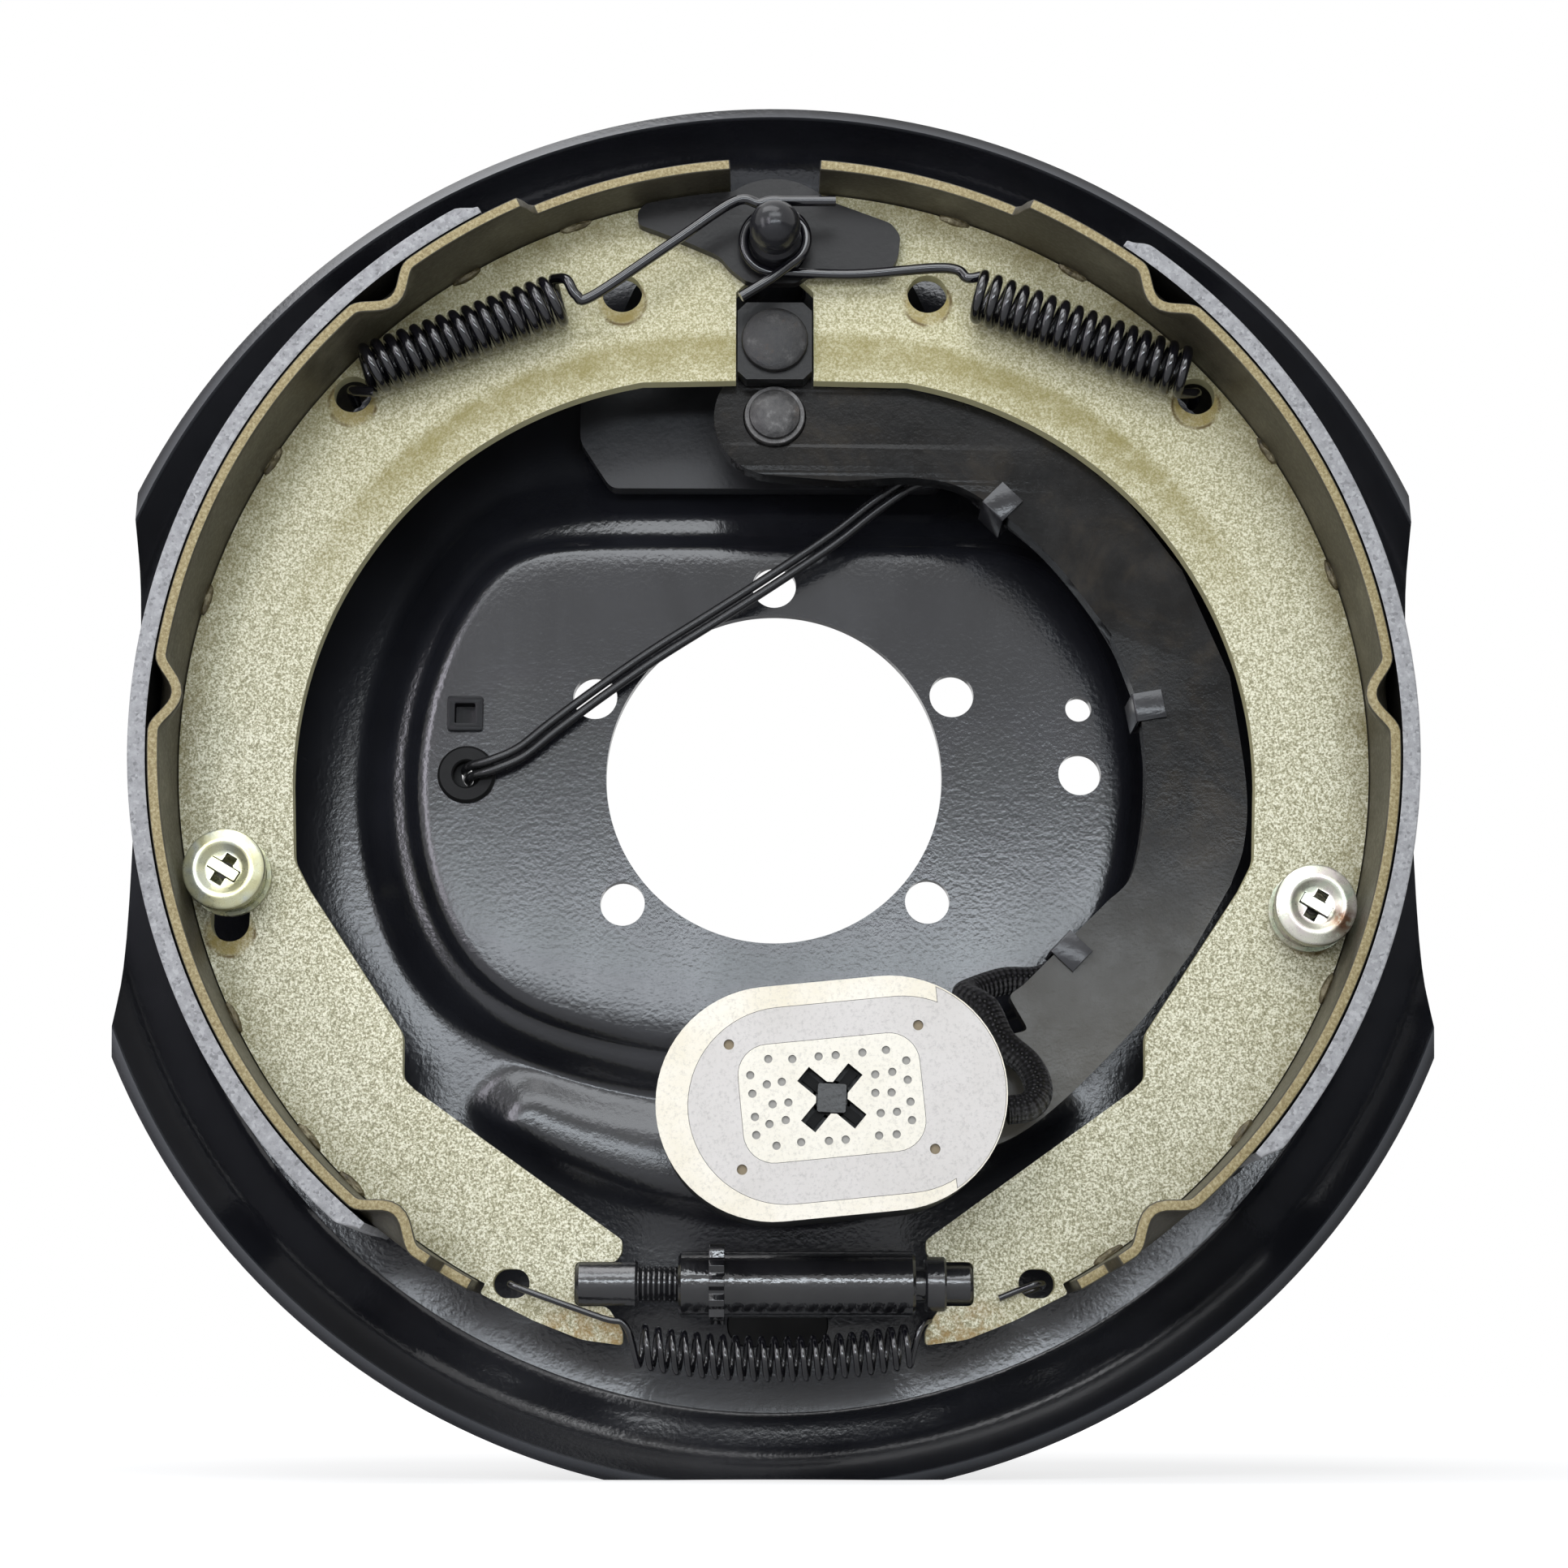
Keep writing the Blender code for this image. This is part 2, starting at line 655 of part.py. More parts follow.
def pivot_pin():
    """The shouldered pin that the lever turns on."""
    top = LEVER_FRONT + GAP + BUSHING_WALL
    shape = [
        (0.0, top + GAP + 0.0016),
        (PIVOT_PIN * 0.8, top + GAP + 0.0014),
        (PIVOT_PIN + 0.0004, top + GAP + 0.0006),
        (PIVOT_PIN + 0.0004, top + GAP),
        (PIVOT_PIN, top + GAP),
        (PIVOT_PIN, LEVER_REAR - GAP),
        (PIVOT_PIN + 0.0030, LEVER_REAR - GAP),
        (PIVOT_PIN + 0.0030, BRACKET_FRONT + GAP),
        (PIVOT_PIN, BRACKET_FRONT + GAP),
    ]
    shank = rivet_profile(PIVOT_PIN, BRACKET_FRONT, FLOOR_REAR)[2:]
    pin = turned("pivot_pin", shape + shank, (0.0, PIVOT_UP, 0.0), SMALL_STEPS)
    return finish(pin, (0.06, 0.06, 0.065), FRAME)


def shoe_angles(start, end):
    """The angles of a shoe's table between two ends. Web and lining bend at the same ones."""
    angles = [TABLE_STEP_FOOT - 0.1, TABLE_STEP_FOOT, TABLE_STEP_TOP, TABLE_STEP_TOP + 0.1, *TABLE_BENDS]
    for dent in DENT_ANGLES:
        angles += [dent + k * DENT_HALF_ANGLE / 2 for k in range(-2, 3)]
    return [start] + sorted(a for a in angles if start + 0.05 < a < end - 0.05) + [end]


def shoe_table(name, side, parent):
    rows = []
    for degrees in shoe_angles(TABLE_FOOT, TABLE_TOP):
        narrow = TABLE_STEP_DEPTH if degrees < TABLE_STEP_FOOT or degrees > TABLE_STEP_TOP else 0.0
        low, high = SHOE_REAR + narrow, SHOE_FRONT - narrow
        row = []
        for h in (low, low + DENT_REACH, high - DENT_REACH, high):
            dent = 0.0
            if h in (low, high):
                for middle in DENT_ANGLES:
                    away = abs(degrees - middle) / DENT_HALF_ANGLE
                    dent += DENT_DEPTH * (0.5 + 0.5 * math.cos(math.pi * min(away, 1.0)))
            x, y = polar(TABLE_RADIUS - dent, degrees)
            row.append((side * x, y, h))
        rows.append(row)
    table = surface(name, rows, TABLE_THICK, side)
    return finish(table, (0.50, 0.45, 0.28), parent)


def shoe_lining(name, side, span, parent):
    rows = []
    for degrees in shoe_angles(*span):
        x, y = polar(TABLE_RADIUS + GAP, degrees)
        rows.append([(side * x, y, h) for h in (SHOE_REAR, SHOE_FRONT)])
    lining = surface(name, rows, LINING_THICK, -side)
    return finish(lining, (0.30, 0.30, 0.30), parent)


def web_outline():
    """The right shoe's web: a crescent with a seat for the post above and a fork below."""
    mouth = WEB_MOUTH
    seat = POST_RADIUS + GAP
    points = [(mouth, 0.0945), (0.0330, 0.0940)]
    points += arc_through((0.0373, 0.0931), (0.0949, 0.0568), (0.1166, -0.0084), 10)
    points += [(0.1157, -0.0270), (0.1120, -0.0340), (0.0884, -0.0690), (0.0882, -0.0795)]
    points += [(0.0852, -0.0823), (0.0357, -0.1175), (0.0357, -0.1205), (0.0372, ADJUSTER_UP + SLOT_HALF)]
    points += [(ADJUSTER_HALF + GAP, ADJUSTER_UP + SLOT_HALF), (ADJUSTER_HALF + GAP, ADJUSTER_UP - SLOT_HALF)]
    points += [(0.0390, ADJUSTER_UP - SLOT_HALF), (0.0353, -0.1385), (0.0353, -0.1418), (0.0450, -0.1405)]
    points += [(0.0560, -0.1362), polar(0.1470, TABLE_FOOT - 0.6), polar(WEB_RADIUS, TABLE_FOOT - 0.6)]
    points += [polar(WEB_RADIUS, degrees) for degrees in shoe_angles(TABLE_FOOT, TABLE_TOP)]
    points += [(0.0022, 0.1385)]
    points += arc((0.0, POST_UP), seat, 74, -52, 8)
    points += [(mouth - 0.0012, 0.1190), (mouth, 0.1178)]
    return points


def shoe_web(name, side, hold_at, hold_run, parent):
    holes = [
        arc(SPRING_HOLE_AT, SPRING_HOLE, 0, 330, 11),
        arc(TOOL_HOLE_AT, TOOL_HOLE, 0, 330, 11),
        stadium(FOOT_HOLE_AT, FOOT_HOLE_LONG, FOOT_HOLE_WIDE, 0, 4),
        stadium((abs(hold_at[0]), hold_at[1] - hold_run / 2), 2 * HOLD_HOLE + hold_run, 2 * HOLD_HOLE, 90, 5),
    ]
    loops = [mirrored(loop, side) for loop in [web_outline()] + holes]
    web = flat(name, loops, WEB_REAR, WEB_FRONT)
    return finish(web, (0.42, 0.39, 0.27), parent)


def lever_outline():
    top = [(0.0170, 0.0698), (0.0356, 0.0706), (0.0497, 0.0665), (0.0676, 0.0512), (0.0832, 0.0304)]
    inner = curved(top, 3)
    inner += curved([(0.0897, 0.0120), (0.0908, -0.0075), (0.0871, -0.0286), (0.0796, -0.0372)], 3)
    inner += [(0.0600, -0.0565), (0.0563, -0.0591), (0.0610, -0.0675), (0.0500, -0.0700)]
    boss = arc(MAGNET_AT, 0.0140, 75, 285, 10)
    outer = curved([(0.0300, -0.1000), (0.0580, -0.0925), (0.0849, -0.0687), (0.1011, -0.0481)], 3)
    outer += curved([(0.1106, -0.0322), (0.1141, -0.0224), (0.1152, -0.0075), (0.1120, 0.0200)], 3)
    outer += curved([(0.1010, 0.0470), (0.0830, 0.0700), (0.0600, 0.0865), (0.0348, 0.0934)], 3)
    neck = [(0.0170, 0.0945), (0.0090, 0.0990), (0.0090, BLOCK_UP)]
    head = arc((0.0, BLOCK_UP), 0.0090, 20, 160, 6)
    left = [(-0.0090, BLOCK_UP), (-0.0092, 0.0985)] + arc((0.0, PIVOT_UP), LEVER_BOSS, 140, 265, 9)
    return left + inner + boss + outer + neck + head


def lever_arm(parent):
    bore = PIVOT_PIN + GAP + BUSHING_WALL + GAP
    holes = [
        arc((0.0, PIVOT_UP), bore, 0, 360 - 360 / SMALL_STEPS, SMALL_STEPS - 1),
        arc((0.0, BLOCK_UP), STUD_RADIUS + GAP, 0, 330, 11),
        arc(MAGNET_AT, PIN_RADIUS + GAP, 0, 330, 11),
    ]
    lever = flat("lever_arm", [lever_outline()] + holes, LEVER_REAR, LEVER_FRONT)
    return finish(lever, (0.04, 0.04, 0.043), parent)


def lever_bushing(parent):
    inner = PIVOT_PIN + GAP
    top = LEVER_FRONT + GAP
    shape = [(BUSHING_FLANGE, top + BUSHING_WALL), (BUSHING_FLANGE, top), (inner + BUSHING_WALL, top)]
    shape += [(inner + BUSHING_WALL, LEVER_REAR), (inner, LEVER_REAR), (inner, top + BUSHING_WALL)]
    bushing = turned("lever_bushing", shape, (0.0, PIVOT_UP, 0.0), SMALL_STEPS, closed=True)
    return finish(bushing, (0.10, 0.10, 0.105), parent)


BLOCK_REAR = LEVER_FRONT + GAP
BLOCK_FRONT = BLOCK_REAR + BLOCK_THICK


def actuator_block(parent):
    """The block between the webs, which the lever pushes sideways."""
    x, y, c = BLOCK_HALF_WIDE, BLOCK_HALF_TALL, BLOCK_CHAMFER
    corners = [(x, y - c), (x - c, y), (c - x, y), (-x, y - c)]
    corners += [(-a, -b) for a, b in corners]
    outline = [(a, BLOCK_UP + b) for a, b in corners]
    hole = arc((0.0, BLOCK_UP), STUD_RADIUS + GAP, 0, 330, 11)
    block = flat("actuator_block", [outline, hole], BLOCK_REAR, BLOCK_FRONT)
    return finish(block, (0.03, 0.03, 0.033), parent)


def block_stud(parent):
    """The headed stud that carries the block on the lever, spread behind it."""
    top = BLOCK_FRONT + GAP
    front = top + STUD_HEAD_THICK
    shape = [(0.0, front), (STUD_HEAD * 0.94, front), (STUD_HEAD, top + 0.0010)]
    shape += [(STUD_HEAD, top)] + rivet_profile(STUD_RADIUS, top, LEVER_REAR)[1:]
    stud = turned("block_stud", shape, (0.0, BLOCK_UP, 0.0), SMALL_STEPS)
    return finish(stud, (0.08, 0.08, 0.085), parent)


MAGNET_REAR = MAGNET_FRONT - MAGNET_DEEP
POT_FLOOR = MAGNET_REAR + MAGNET_BACK


def magnet_loop(shrink):
    return stadium(MAGNET_AT, MAGNET_LONG - 2 * shrink, MAGNET_WIDE - 2 * shrink, MAGNET_TILT)


def magnet_shell(parent):
    """The steel pot of the magnet, open towards the drum."""
    shell = flat("magnet_shell", [magnet_loop(0.0)], MAGNET_REAR, MAGNET_FRONT)
    cut(shell, flat("pot_hollow", [magnet_loop(MAGNET_WALL)], POT_FLOOR, MAGNET_FRONT + 0.01))
    cut(shell, rod("pot_bore", PIN_RADIUS + 2 * GAP, MAGNET_REAR - 0.01, MAGNET_FRONT, (*MAGNET_AT, 0.0), 12))
    seat = MAGNET_SPRING_RADIUS + MAGNET_SPRING_WIRE + 2 * GAP
    cut(shell, rod("spring_seat", seat, MAGNET_REAR - 0.01, MAGNET_REAR + 0.0015, (*MAGNET_AT, 0.0), 16))
    return finish(shell, (0.55, 0.50, 0.38), parent)


def core_loop(grow=0.0):
    return soft_box(MAGNET_AT, CORE_LONG + 2 * grow, CORE_WIDE + 2 * grow, CORE_CORNER + grow, MAGNET_TILT)


def cross_loop(reach, arm):
    """A plus-shaped loop turned by 45 degrees."""
    a, r = arm / 2, reach
    loop = [(r, -a), (r, a), (a, a), (a, r), (-a, r), (-a, a), (-r, a), (-r, -a)]
    loop += [(-a, -a), (-a, -r), (a, -r), (a, -a)]
    turn = Matrix.Rotation(math.radians(45 + MAGNET_TILT), 2)
    return [tuple(turn @ Vector(p) + Vector(MAGNET_AT)) for p in loop]


def magnet_core(parent):
    core = flat("magnet_core", [core_loop()], POT_FLOOR + GAP, MAGNET_FRONT)
    bore = rod("core_bore", PIN_RADIUS + 2 * GAP, POT_FLOOR - 0.01, MAGNET_FRONT, (*MAGNET_AT, 0.0), 12)
    cut(core, bore)
    cut(core, flat("core_cross", [cross_loop(CROSS_REACH, CROSS_ARM)], MAGNET_FRONT - CROSS_DEPTH, 0.08))
    return finish(core, (0.62, 0.57, 0.44), parent)


def magnet_coil(parent):
    low = POT_FLOOR + GAP
    loops = [magnet_loop(MAGNET_WALL + GAP), core_loop(GAP)]
    return finish(flat("magnet_coil", loops, low, low + COIL_HEIGHT), (0.40, 0.14, 0.05), parent)


def friction_pad(parent):
    low = POT_FLOOR + 2 * GAP + COIL_HEIGHT
    loops = [magnet_loop(MAGNET_WALL + GAP), core_loop(GAP)]
    return finish(flat("friction_pad", loops, low, MAGNET_FRONT), (0.52, 0.48, 0.43), parent)


def magnet_pin(parent):
    """The lever's pin, round through the magnet and square at its end."""
    rear = LEVER_REAR - GAP
    neck = MAGNET_FRONT - CROSS_DEPTH + 0.0005
    shape = [(0.0, neck), (PIN_RADIUS, neck), (PIN_RADIUS, rear), (PIN_RADIUS + RIVET_SPREAD, rear)]
    shape += [(PIN_RADIUS + 0.0010, rear - RIVET_THICK), (0.0, rear - RIVET_THICK)]
    pin = turned("magnet_pin", shape, (*MAGNET_AT, 0.0), 12)
    tip = soft_box(MAGNET_AT, PIN_SQUARE, PIN_SQUARE, 0.0004, MAGNET_TILT, 1)
    join(pin, flat("pin_tip", [tip], neck - 0.0010, MAGNET_FRONT - 0.0004))
    return finish(pin, (0.03, 0.03, 0.032), parent)


def magnet_spring(parent):
    low = LEVER_FRONT + GAP + MAGNET_SPRING_WIRE
    high = MAGNET_REAR + 0.0015 - GAP - MAGNET_SPRING_WIRE - MAGNET_TRAVEL
    points = coil((*MAGNET_AT, low), (*MAGNET_AT, high), MAGNET_SPRING_RADIUS, 2.5)
    return finish(wire("magnet_spring", points, MAGNET_SPRING_WIRE), (0.30, 0.30, 0.30), parent)


SPRING_HEIGHT = WEB_FRONT + GAP + SPRING_WIRE + SPRING_RADIUS
WRAP = POST_GROOVE + GAP + SPRING_WIRE


def secondary_return_spring():
    """The left return spring: hooked in the web's hole, coiled, and bent over the anchor post."""
    hole = (-SPRING_HOLE_AT[0], SPRING_HOLE_AT[1])
    high = GROOVE_FRONT - GAP - SPRING_WIRE
    points = [(*hole, WEB_REAR - 0.003), (*hole, WEB_FRONT + 0.003), (-0.1025, 0.0905, SPRING_HEIGHT)]
    start, end = (-SPRING_OUTER_AT[0], SPRING_OUTER_AT[1], SPRING_HEIGHT), (-0.0530, 0.1134, SPRING_HEIGHT)
    body = coil(start, end, SPRING_RADIUS, SPRING_TURNS - 0.5, 180)
    tail = [(-0.0515, 0.1165, SPRING_HEIGHT + 0.0045), (-0.0490, 0.1125, SPRING_HEIGHT + 0.0045)]
    tail += [(-0.0450, 0.1125, SPRING_HEIGHT + 0.0040)]
    tail += [(-0.0250, 0.1262, high - 0.001), (-0.0100, 0.1364, high)]
    over = arc((0.0, POST_UP), WRAP, 118, 80, 4)
    points += body + tail + [(x, y, high) for x, y in over] + [(0.0150, 0.1366, high)]
    return finish(wire("secondary_return_spring", points, SPRING_WIRE), (0.02, 0.02, 0.023), FRAME)


def primary_return_spring():
    """The right return spring, which goes once round the anchor post."""
    hole = SPRING_HOLE_AT
    low = GROOVE_REAR + SPRING_WIRE + GAP
    high = low + 2 * SPRING_WIRE + 0.0012
    points = [(*hole, WEB_REAR - 0.003), (*hole, WEB_FRONT + 0.003), (0.1025, 0.0905, SPRING_HEIGHT)]
    start, end = (*SPRING_OUTER_AT, SPRING_HEIGHT), (0.0500, 0.1145, SPRING_HEIGHT)
    body = coil(start, end, SPRING_RADIUS, SPRING_TURNS - 0.5, 0)
    tail = [(0.0480, 0.1190, SPRING_HEIGHT), (0.0455, 0.1215, SPRING_HEIGHT - 0.001)]
    tail += [(0.0390, 0.1222, low + 0.0003), (0.0200, 0.1206, low)]
    loop = arc((0.0, POST_UP), WRAP, 285, -60, 16)
    rise = [(x, y, low + (high - low) * k / 16) for k, (x, y) in enumerate(loop)]
    end = [(-0.0010, 0.1178, high + 0.0004), (-0.0085, 0.1130, high + 0.0004)]
    points += body + tail + rise + end
    return finish(wire("primary_return_spring", points, SPRING_WIRE), (0.02, 0.02, 0.023), FRAME)


ADJUSTER_HEIGHT = (WEB_REAR + WEB_FRONT) / 2
ADJUSTER_AT = (0.0, ADJUSTER_UP, ADJUSTER_HEIGHT)
BARREL_LEFT = -ADJUSTER_HALF + STUD_END_LENGTH + THREAD_SHOWN
STAR_FROM = BARREL_LEFT + STAR_INSET
COLLAR_LEFT = ADJUSTER_HALF - SOCKET_END_LENGTH - SOCKET_COLLAR_LENGTH
BARREL_RIGHT = COLLAR_LEFT - BARREL_GAP
STEM_LEFT = COLLAR_LEFT - SOCKET_STEM


def key_slots(name, low, high):
    """Two blocks above and below an adjuster end, which leave room for the web's fork."""
    found = []
    for side in (-1, 1):
        near, far = ADJUSTER_UP + side * SLOT_KEY, ADJUSTER_UP + side * 0.02
        loop = [(low, near), (high, near), (high, far), (low, far)]
        half = WEB_THICK / 2 + 2 * GAP
        found.append(flat(name, [loop], ADJUSTER_HEIGHT - half, ADJUSTER_HEIGHT + half))
    return found


def adjuster_stud(parent):
    """The screw that the star wheel drives out against the left shoe."""
    left = -ADJUSTER_HALF
    end = left + STUD_END_LENGTH
    tip = STEM_LEFT - SCREW_GAP
    shape = [(0.0, tip), (THREAD_RADIUS, tip), (THREAD_RADIUS, end), (STUD_END_RADIUS, end)]
    shape += [(STUD_END_RADIUS, left), (0.0, left)]
    stud = turned("adjuster_stud", shape, ADJUSTER_AT, SMALL_STEPS, lying=True)
    cut(stud, *key_slots("stud_key", left - 0.01, left + 0.0125))
    return finish(stud, (0.03, 0.03, 0.032), parent)


def adjuster_barrel(parent):
    """The barrel with its star wheel, which is turned through the slot in the backing plate."""
    bore = THREAD_RADIUS + GAP
    ends = (BARREL_LEFT, BARREL_RIGHT)
    barrel = ring("adjuster_barrel", bore, BARREL_RADIUS, *ends, ADJUSTER_AT, SMALL_STEPS, lying=True)
    teeth = []
    for k in range(STAR_TEETH):
        middle = 360.0 * k / STAR_TEETH
        for radius, off in ((STAR_ROOT, -12), (STAR_RADIUS, -5), (STAR_RADIUS, 5), (STAR_ROOT, 12)):
            teeth.append(polar(radius, middle + off))
    middle = arc((0.0, 0.0), bore + 0.001, 0, 337.5, 15)
    star = flat("star_wheel", [teeth, middle], STAR_FROM, STAR_FROM + STAR_THICK)
    star.rotation_euler = (0.0, math.radians(90), 0.0)
    star.location = (STAR_FROM + STAR_THICK / 2, ADJUSTER_UP, ADJUSTER_HEIGHT)
    join(barrel, star)
    return finish(barrel, (0.035, 0.035, 0.037), parent)


def adjuster_socket(parent):
    """The plain end that the barrel turns on and the right shoe's fork holds."""
    right = ADJUSTER_HALF
    end = right - SOCKET_END_LENGTH
    shape = [(0.0, right), (SOCKET_END, right), (SOCKET_END, end)]
    shape += [(SOCKET_COLLAR, end), (SOCKET_COLLAR, COLLAR_LEFT)]
    shape += [(THREAD_RADIUS, COLLAR_LEFT), (THREAD_RADIUS, STEM_LEFT), (0.0, STEM_LEFT)]
    socket = turned("adjuster_socket", shape, ADJUSTER_AT, SMALL_STEPS, lying=True)
    cut(socket, *key_slots("socket_key", right - 0.0119, right + 0.01))
    return finish(socket, (0.03, 0.03, 0.032), parent)


def adjuster_spring():
    """The long spring that draws the shoes' lower ends together."""
    height = WEB_FRONT + GAP + FOOT_WIRE + 0.0020
    half = FOOT_SPRING_HALF
    hole = (-FOOT_HOLE_AT[0], FOOT_HOLE_AT[1])
    left = [(*hole, WEB_REAR - 0.0025), (*hole, WEB_FRONT + 0.0012)]
    left += [(-0.0570, -0.1290, height), (-0.0400, -0.1345, height + 0.001)]
    right = [(-x, y, h) for x, y, h in left[::-1]]
    start, end = (-half, FOOT_SPRING_UP, height), (half, FOOT_SPRING_UP, height)
    body = coil(start, end, FOOT_SPRING_RADIUS, FOOT_SPRING_TURNS, 180, FOOT_SPRING_SAG, 6)
    return finish(wire("adjuster_spring", left + body + right, FOOT_WIRE), (0.02, 0.02, 0.023), FRAME)


def hold_down(side_name, at):
    """A nail from behind the plate, two cups and the spring that press a web back."""
    low = WEB_FRONT + GAP
    high = low + HOLD_HEIGHT
    bore = HOLD_PIN + GAP
    place = (*at, 0.0)
    rear = [(HOLD_CUP, low + HOLD_CUP_DEEP), (HOLD_CUP, low), (bore, low), (bore, low + 0.0008)]
    rear += [(HOLD_CUP - 0.0010, low + 0.0008), (HOLD_CUP - 0.0010, low + HOLD_CUP_DEEP)]
    rear_cup = turned(side_name + "_hold_down_rear_cup", rear, place, SMALL_STEPS, closed=True)
    finish(rear_cup, (0.55, 0.50, 0.30), FRAME)
    rim = HOLD_CUP * 0.62
    front = [(rim, high), (HOLD_CUP, high - 0.0010), (HOLD_CUP, high - HOLD_CUP_DEEP - 0.0010)]
    front += [(HOLD_CUP - 0.0009, high - HOLD_CUP_DEEP - 0.0010), (HOLD_CUP - 0.0009, high - 0.0019)]
    front += [(rim - 0.0004, high - 0.0010), (rim - 0.0015, high - 0.0028)]
    front += [(bore, high - 0.0028), (bore, high - 0.0018)]
    front += [(rim - 0.0020, high - 0.0018)]
    front_cup = turned(side_name + "_hold_down_front_cup", front, place, SMALL_STEPS, closed=True)
    finish(front_cup, (0.60, 0.55, 0.33), FRAME)
    start = (*at, low + 0.0008 + GAP + HOLD_SPRING_WIRE)
    end = (*at, high - 0.0028 - GAP - HOLD_SPRING_WIRE)
    points = coil(start, end, HOLD_SPRING_RADIUS - 0.0008, 3.0)
    finish(wire(side_name + "_hold_down_spring", points, HOLD_SPRING_WIRE), (0.50, 0.46, 0.32), FRAME)
    pin = turned(
        side_name + "_hold_down_pin", rivet_profile(HOLD_PIN, high - 0.0018 + GAP, FLOOR_REAR), place, 10
    )
    wide, deep = 0.0030, 0.0010
    tee = [(at[0] + a * wide, at[1] + b * deep) for a, b in ((-1, -1), (1, -1), (1, 1), (-1, 1))]
    join(pin, flat("nail_head", [tee], high - 0.0018 + GAP / 2, high + 0.0004))
    finish(pin, (0.45, 0.42, 0.32), FRAME)


def grommet():
    front, back = PLATE_THICK + GAP, -GAP
    lip = 0.0012
    body = GROMMET_HOLE - GAP
    shape = [(GROMMET_LIP - 0.0005, front + lip), (GROMMET_LIP, front), (body, front)]
    shape += [(body, back), (GROMMET_LIP, back)]
    shape += [(GROMMET_LIP - 0.0005, back - lip), (GROMMET_BORE, back - lip), (GROMMET_BORE, front + lip)]
    made = turned("wire_grommet", shape, (*GROMMET_AT, 0.0), SMALL_STEPS, closed=True)
    return finish(made, (0.015, 0.015, 0.015), FRAME)


def square_plug():
    """The plastic plug in the plate's square hole."""
    half = PLUG_HALF - GAP
    body = soft_box(PLUG_AT, 2 * half, 2 * half, 0.0005, 0, 1)
    plug = flat("square_plug", [body], -0.0016, PLATE_THICK + GAP)
    wide = 2 * PLUG_HALF + 0.0022
    cap = soft_box(PLUG_AT, wide, wide, 0.0008, 0, 1)
    join(plug, flat("plug_cap", [cap], PLATE_THICK + GAP / 2 + 0.0001, PLATE_THICK + 0.0012))
    return finish(plug, (0.015, 0.015, 0.016), FRAME)


def slot_plug():
    """The rubber plug in the adjuster slot of the backing plate."""
    low, high = FLOOR_REAR - 0.0018, FLOOR_FRONT + GAP
    body = stadium(SLOT_PLUG_AT, SLOT_PLUG_LONG - 2 * GAP, SLOT_PLUG_WIDE - 2 * GAP, 0, 5)
    plug = flat("adjuster_slot_plug", [body], low, high + 0.0008)
    cap = stadium(SLOT_PLUG_AT, SLOT_PLUG_LONG + 0.004, SLOT_PLUG_WIDE + 0.004, 0, 5)
    join(plug, flat("slot_plug_cap", [cap], low - 0.0008, FLOOR_REAR - GAP))
    return finish(plug, (0.012, 0.012, 0.012), FRAME)


SLEEVE_HEIGHT = LEVER_REAR - GAP - SLEEVE_RADIUS
SLEEVE_ROUTE = [
    (0.0520, 0.0700, SLEEVE_HEIGHT),
    (0.0700, 0.0550, SLEEVE_HEIGHT),
    (0.0860, 0.0330, SLEEVE_HEIGHT),
    (0.0935, 0.0120, SLEEVE_HEIGHT),
    (0.0945, -0.0080, SLEEVE_HEIGHT),
    (0.0910, -0.0290, SLEEVE_HEIGHT),
    (0.0808, -0.0430, SLEEVE_HEIGHT),
    (0.0668, -0.0532, SLEEVE_HEIGHT),
    (0.0560, -0.0545, SLEEVE_HEIGHT + 0.0010),
    (0.0480, -0.0575, SLEEVE_HEIGHT + 0.0050),
    (0.0462, -0.0595, SLEEVE_HEIGHT + 0.0100),
    (0.0505, -0.0632, SLEEVE_HEIGHT + 0.0150),
    (0.0540, -0.0710, SLEEVE_HEIGHT + 0.0172),
    (0.0600, -0.0770, SLEEVE_HEIGHT + 0.0190),
    (0.0620, -0.0830, SLEEVE_HEIGHT + 0.0215),
    (0.0595, -0.0870, SLEEVE_HEIGHT + 0.0235),
    (0.0542, -0.0880, SLEEVE_HEIGHT + 0.0240),
]
LEAD_ROUTE = [
    (0.0465, 0.0735, 0.0185),
    (0.0370, 0.0745, 0.0170),
    (0.0270, 0.0690, 0.0150),
    (0.0150, 0.0600, 0.0125),
    (-0.0010, 0.0495, 0.0100),
    (-0.0160, 0.0400, 0.0085),
    (-0.0310, 0.0305, 0.0075),
    (-0.0450, 0.0205, 0.0070),
    (-0.0560, 0.0120, 0.0070),
    (-0.0640, 0.0055, 0.0070),
    (-0.0710, 0.0022, 0.0075),
    (-0.0760, 0.0010, 0.0062),
    (-0.0778, 0.0005, 0.0025),
    (-0.0778, 0.0005, -0.0030),
    (-0.0779, -0.0010, -0.0080),
    (-0.0780, -0.0050, -0.0125),
    (-0.0780, -0.0110, -0.0150),
    (-0.0780, -0.0220, -0.0158),
    (-0.0780, -0.0500, -0.0160),
    (-0.0780, -0.0900, -0.0160),
    (-0.0780, -0.1300, -0.0160),
]
LEAD_SPACING = LEAD_RADIUS + GAP / 2


def lead_route(side):
    """One of the two leads, which lie side by side across their common route."""
    route = []
    places = [Vector(p) for p in LEAD_ROUTE]
    last = Vector((0.0, 1.0, 0.0))
    for k, place in enumerate(places):
        along = places[min(k + 1, len(places) - 1)] - places[max(k - 1, 0)]
        across = Vector((0.0, 0.0, 1.0)).cross(along)
        across.z = 0.0
        if across.length < 0.002:
            across = last
        across.normalize()
        if across.dot(last) < 0:
            across = -across
        across = (across + last).normalized()
        last = across
        route.append(tuple(place + side * LEAD_SPACING * across))
    return route


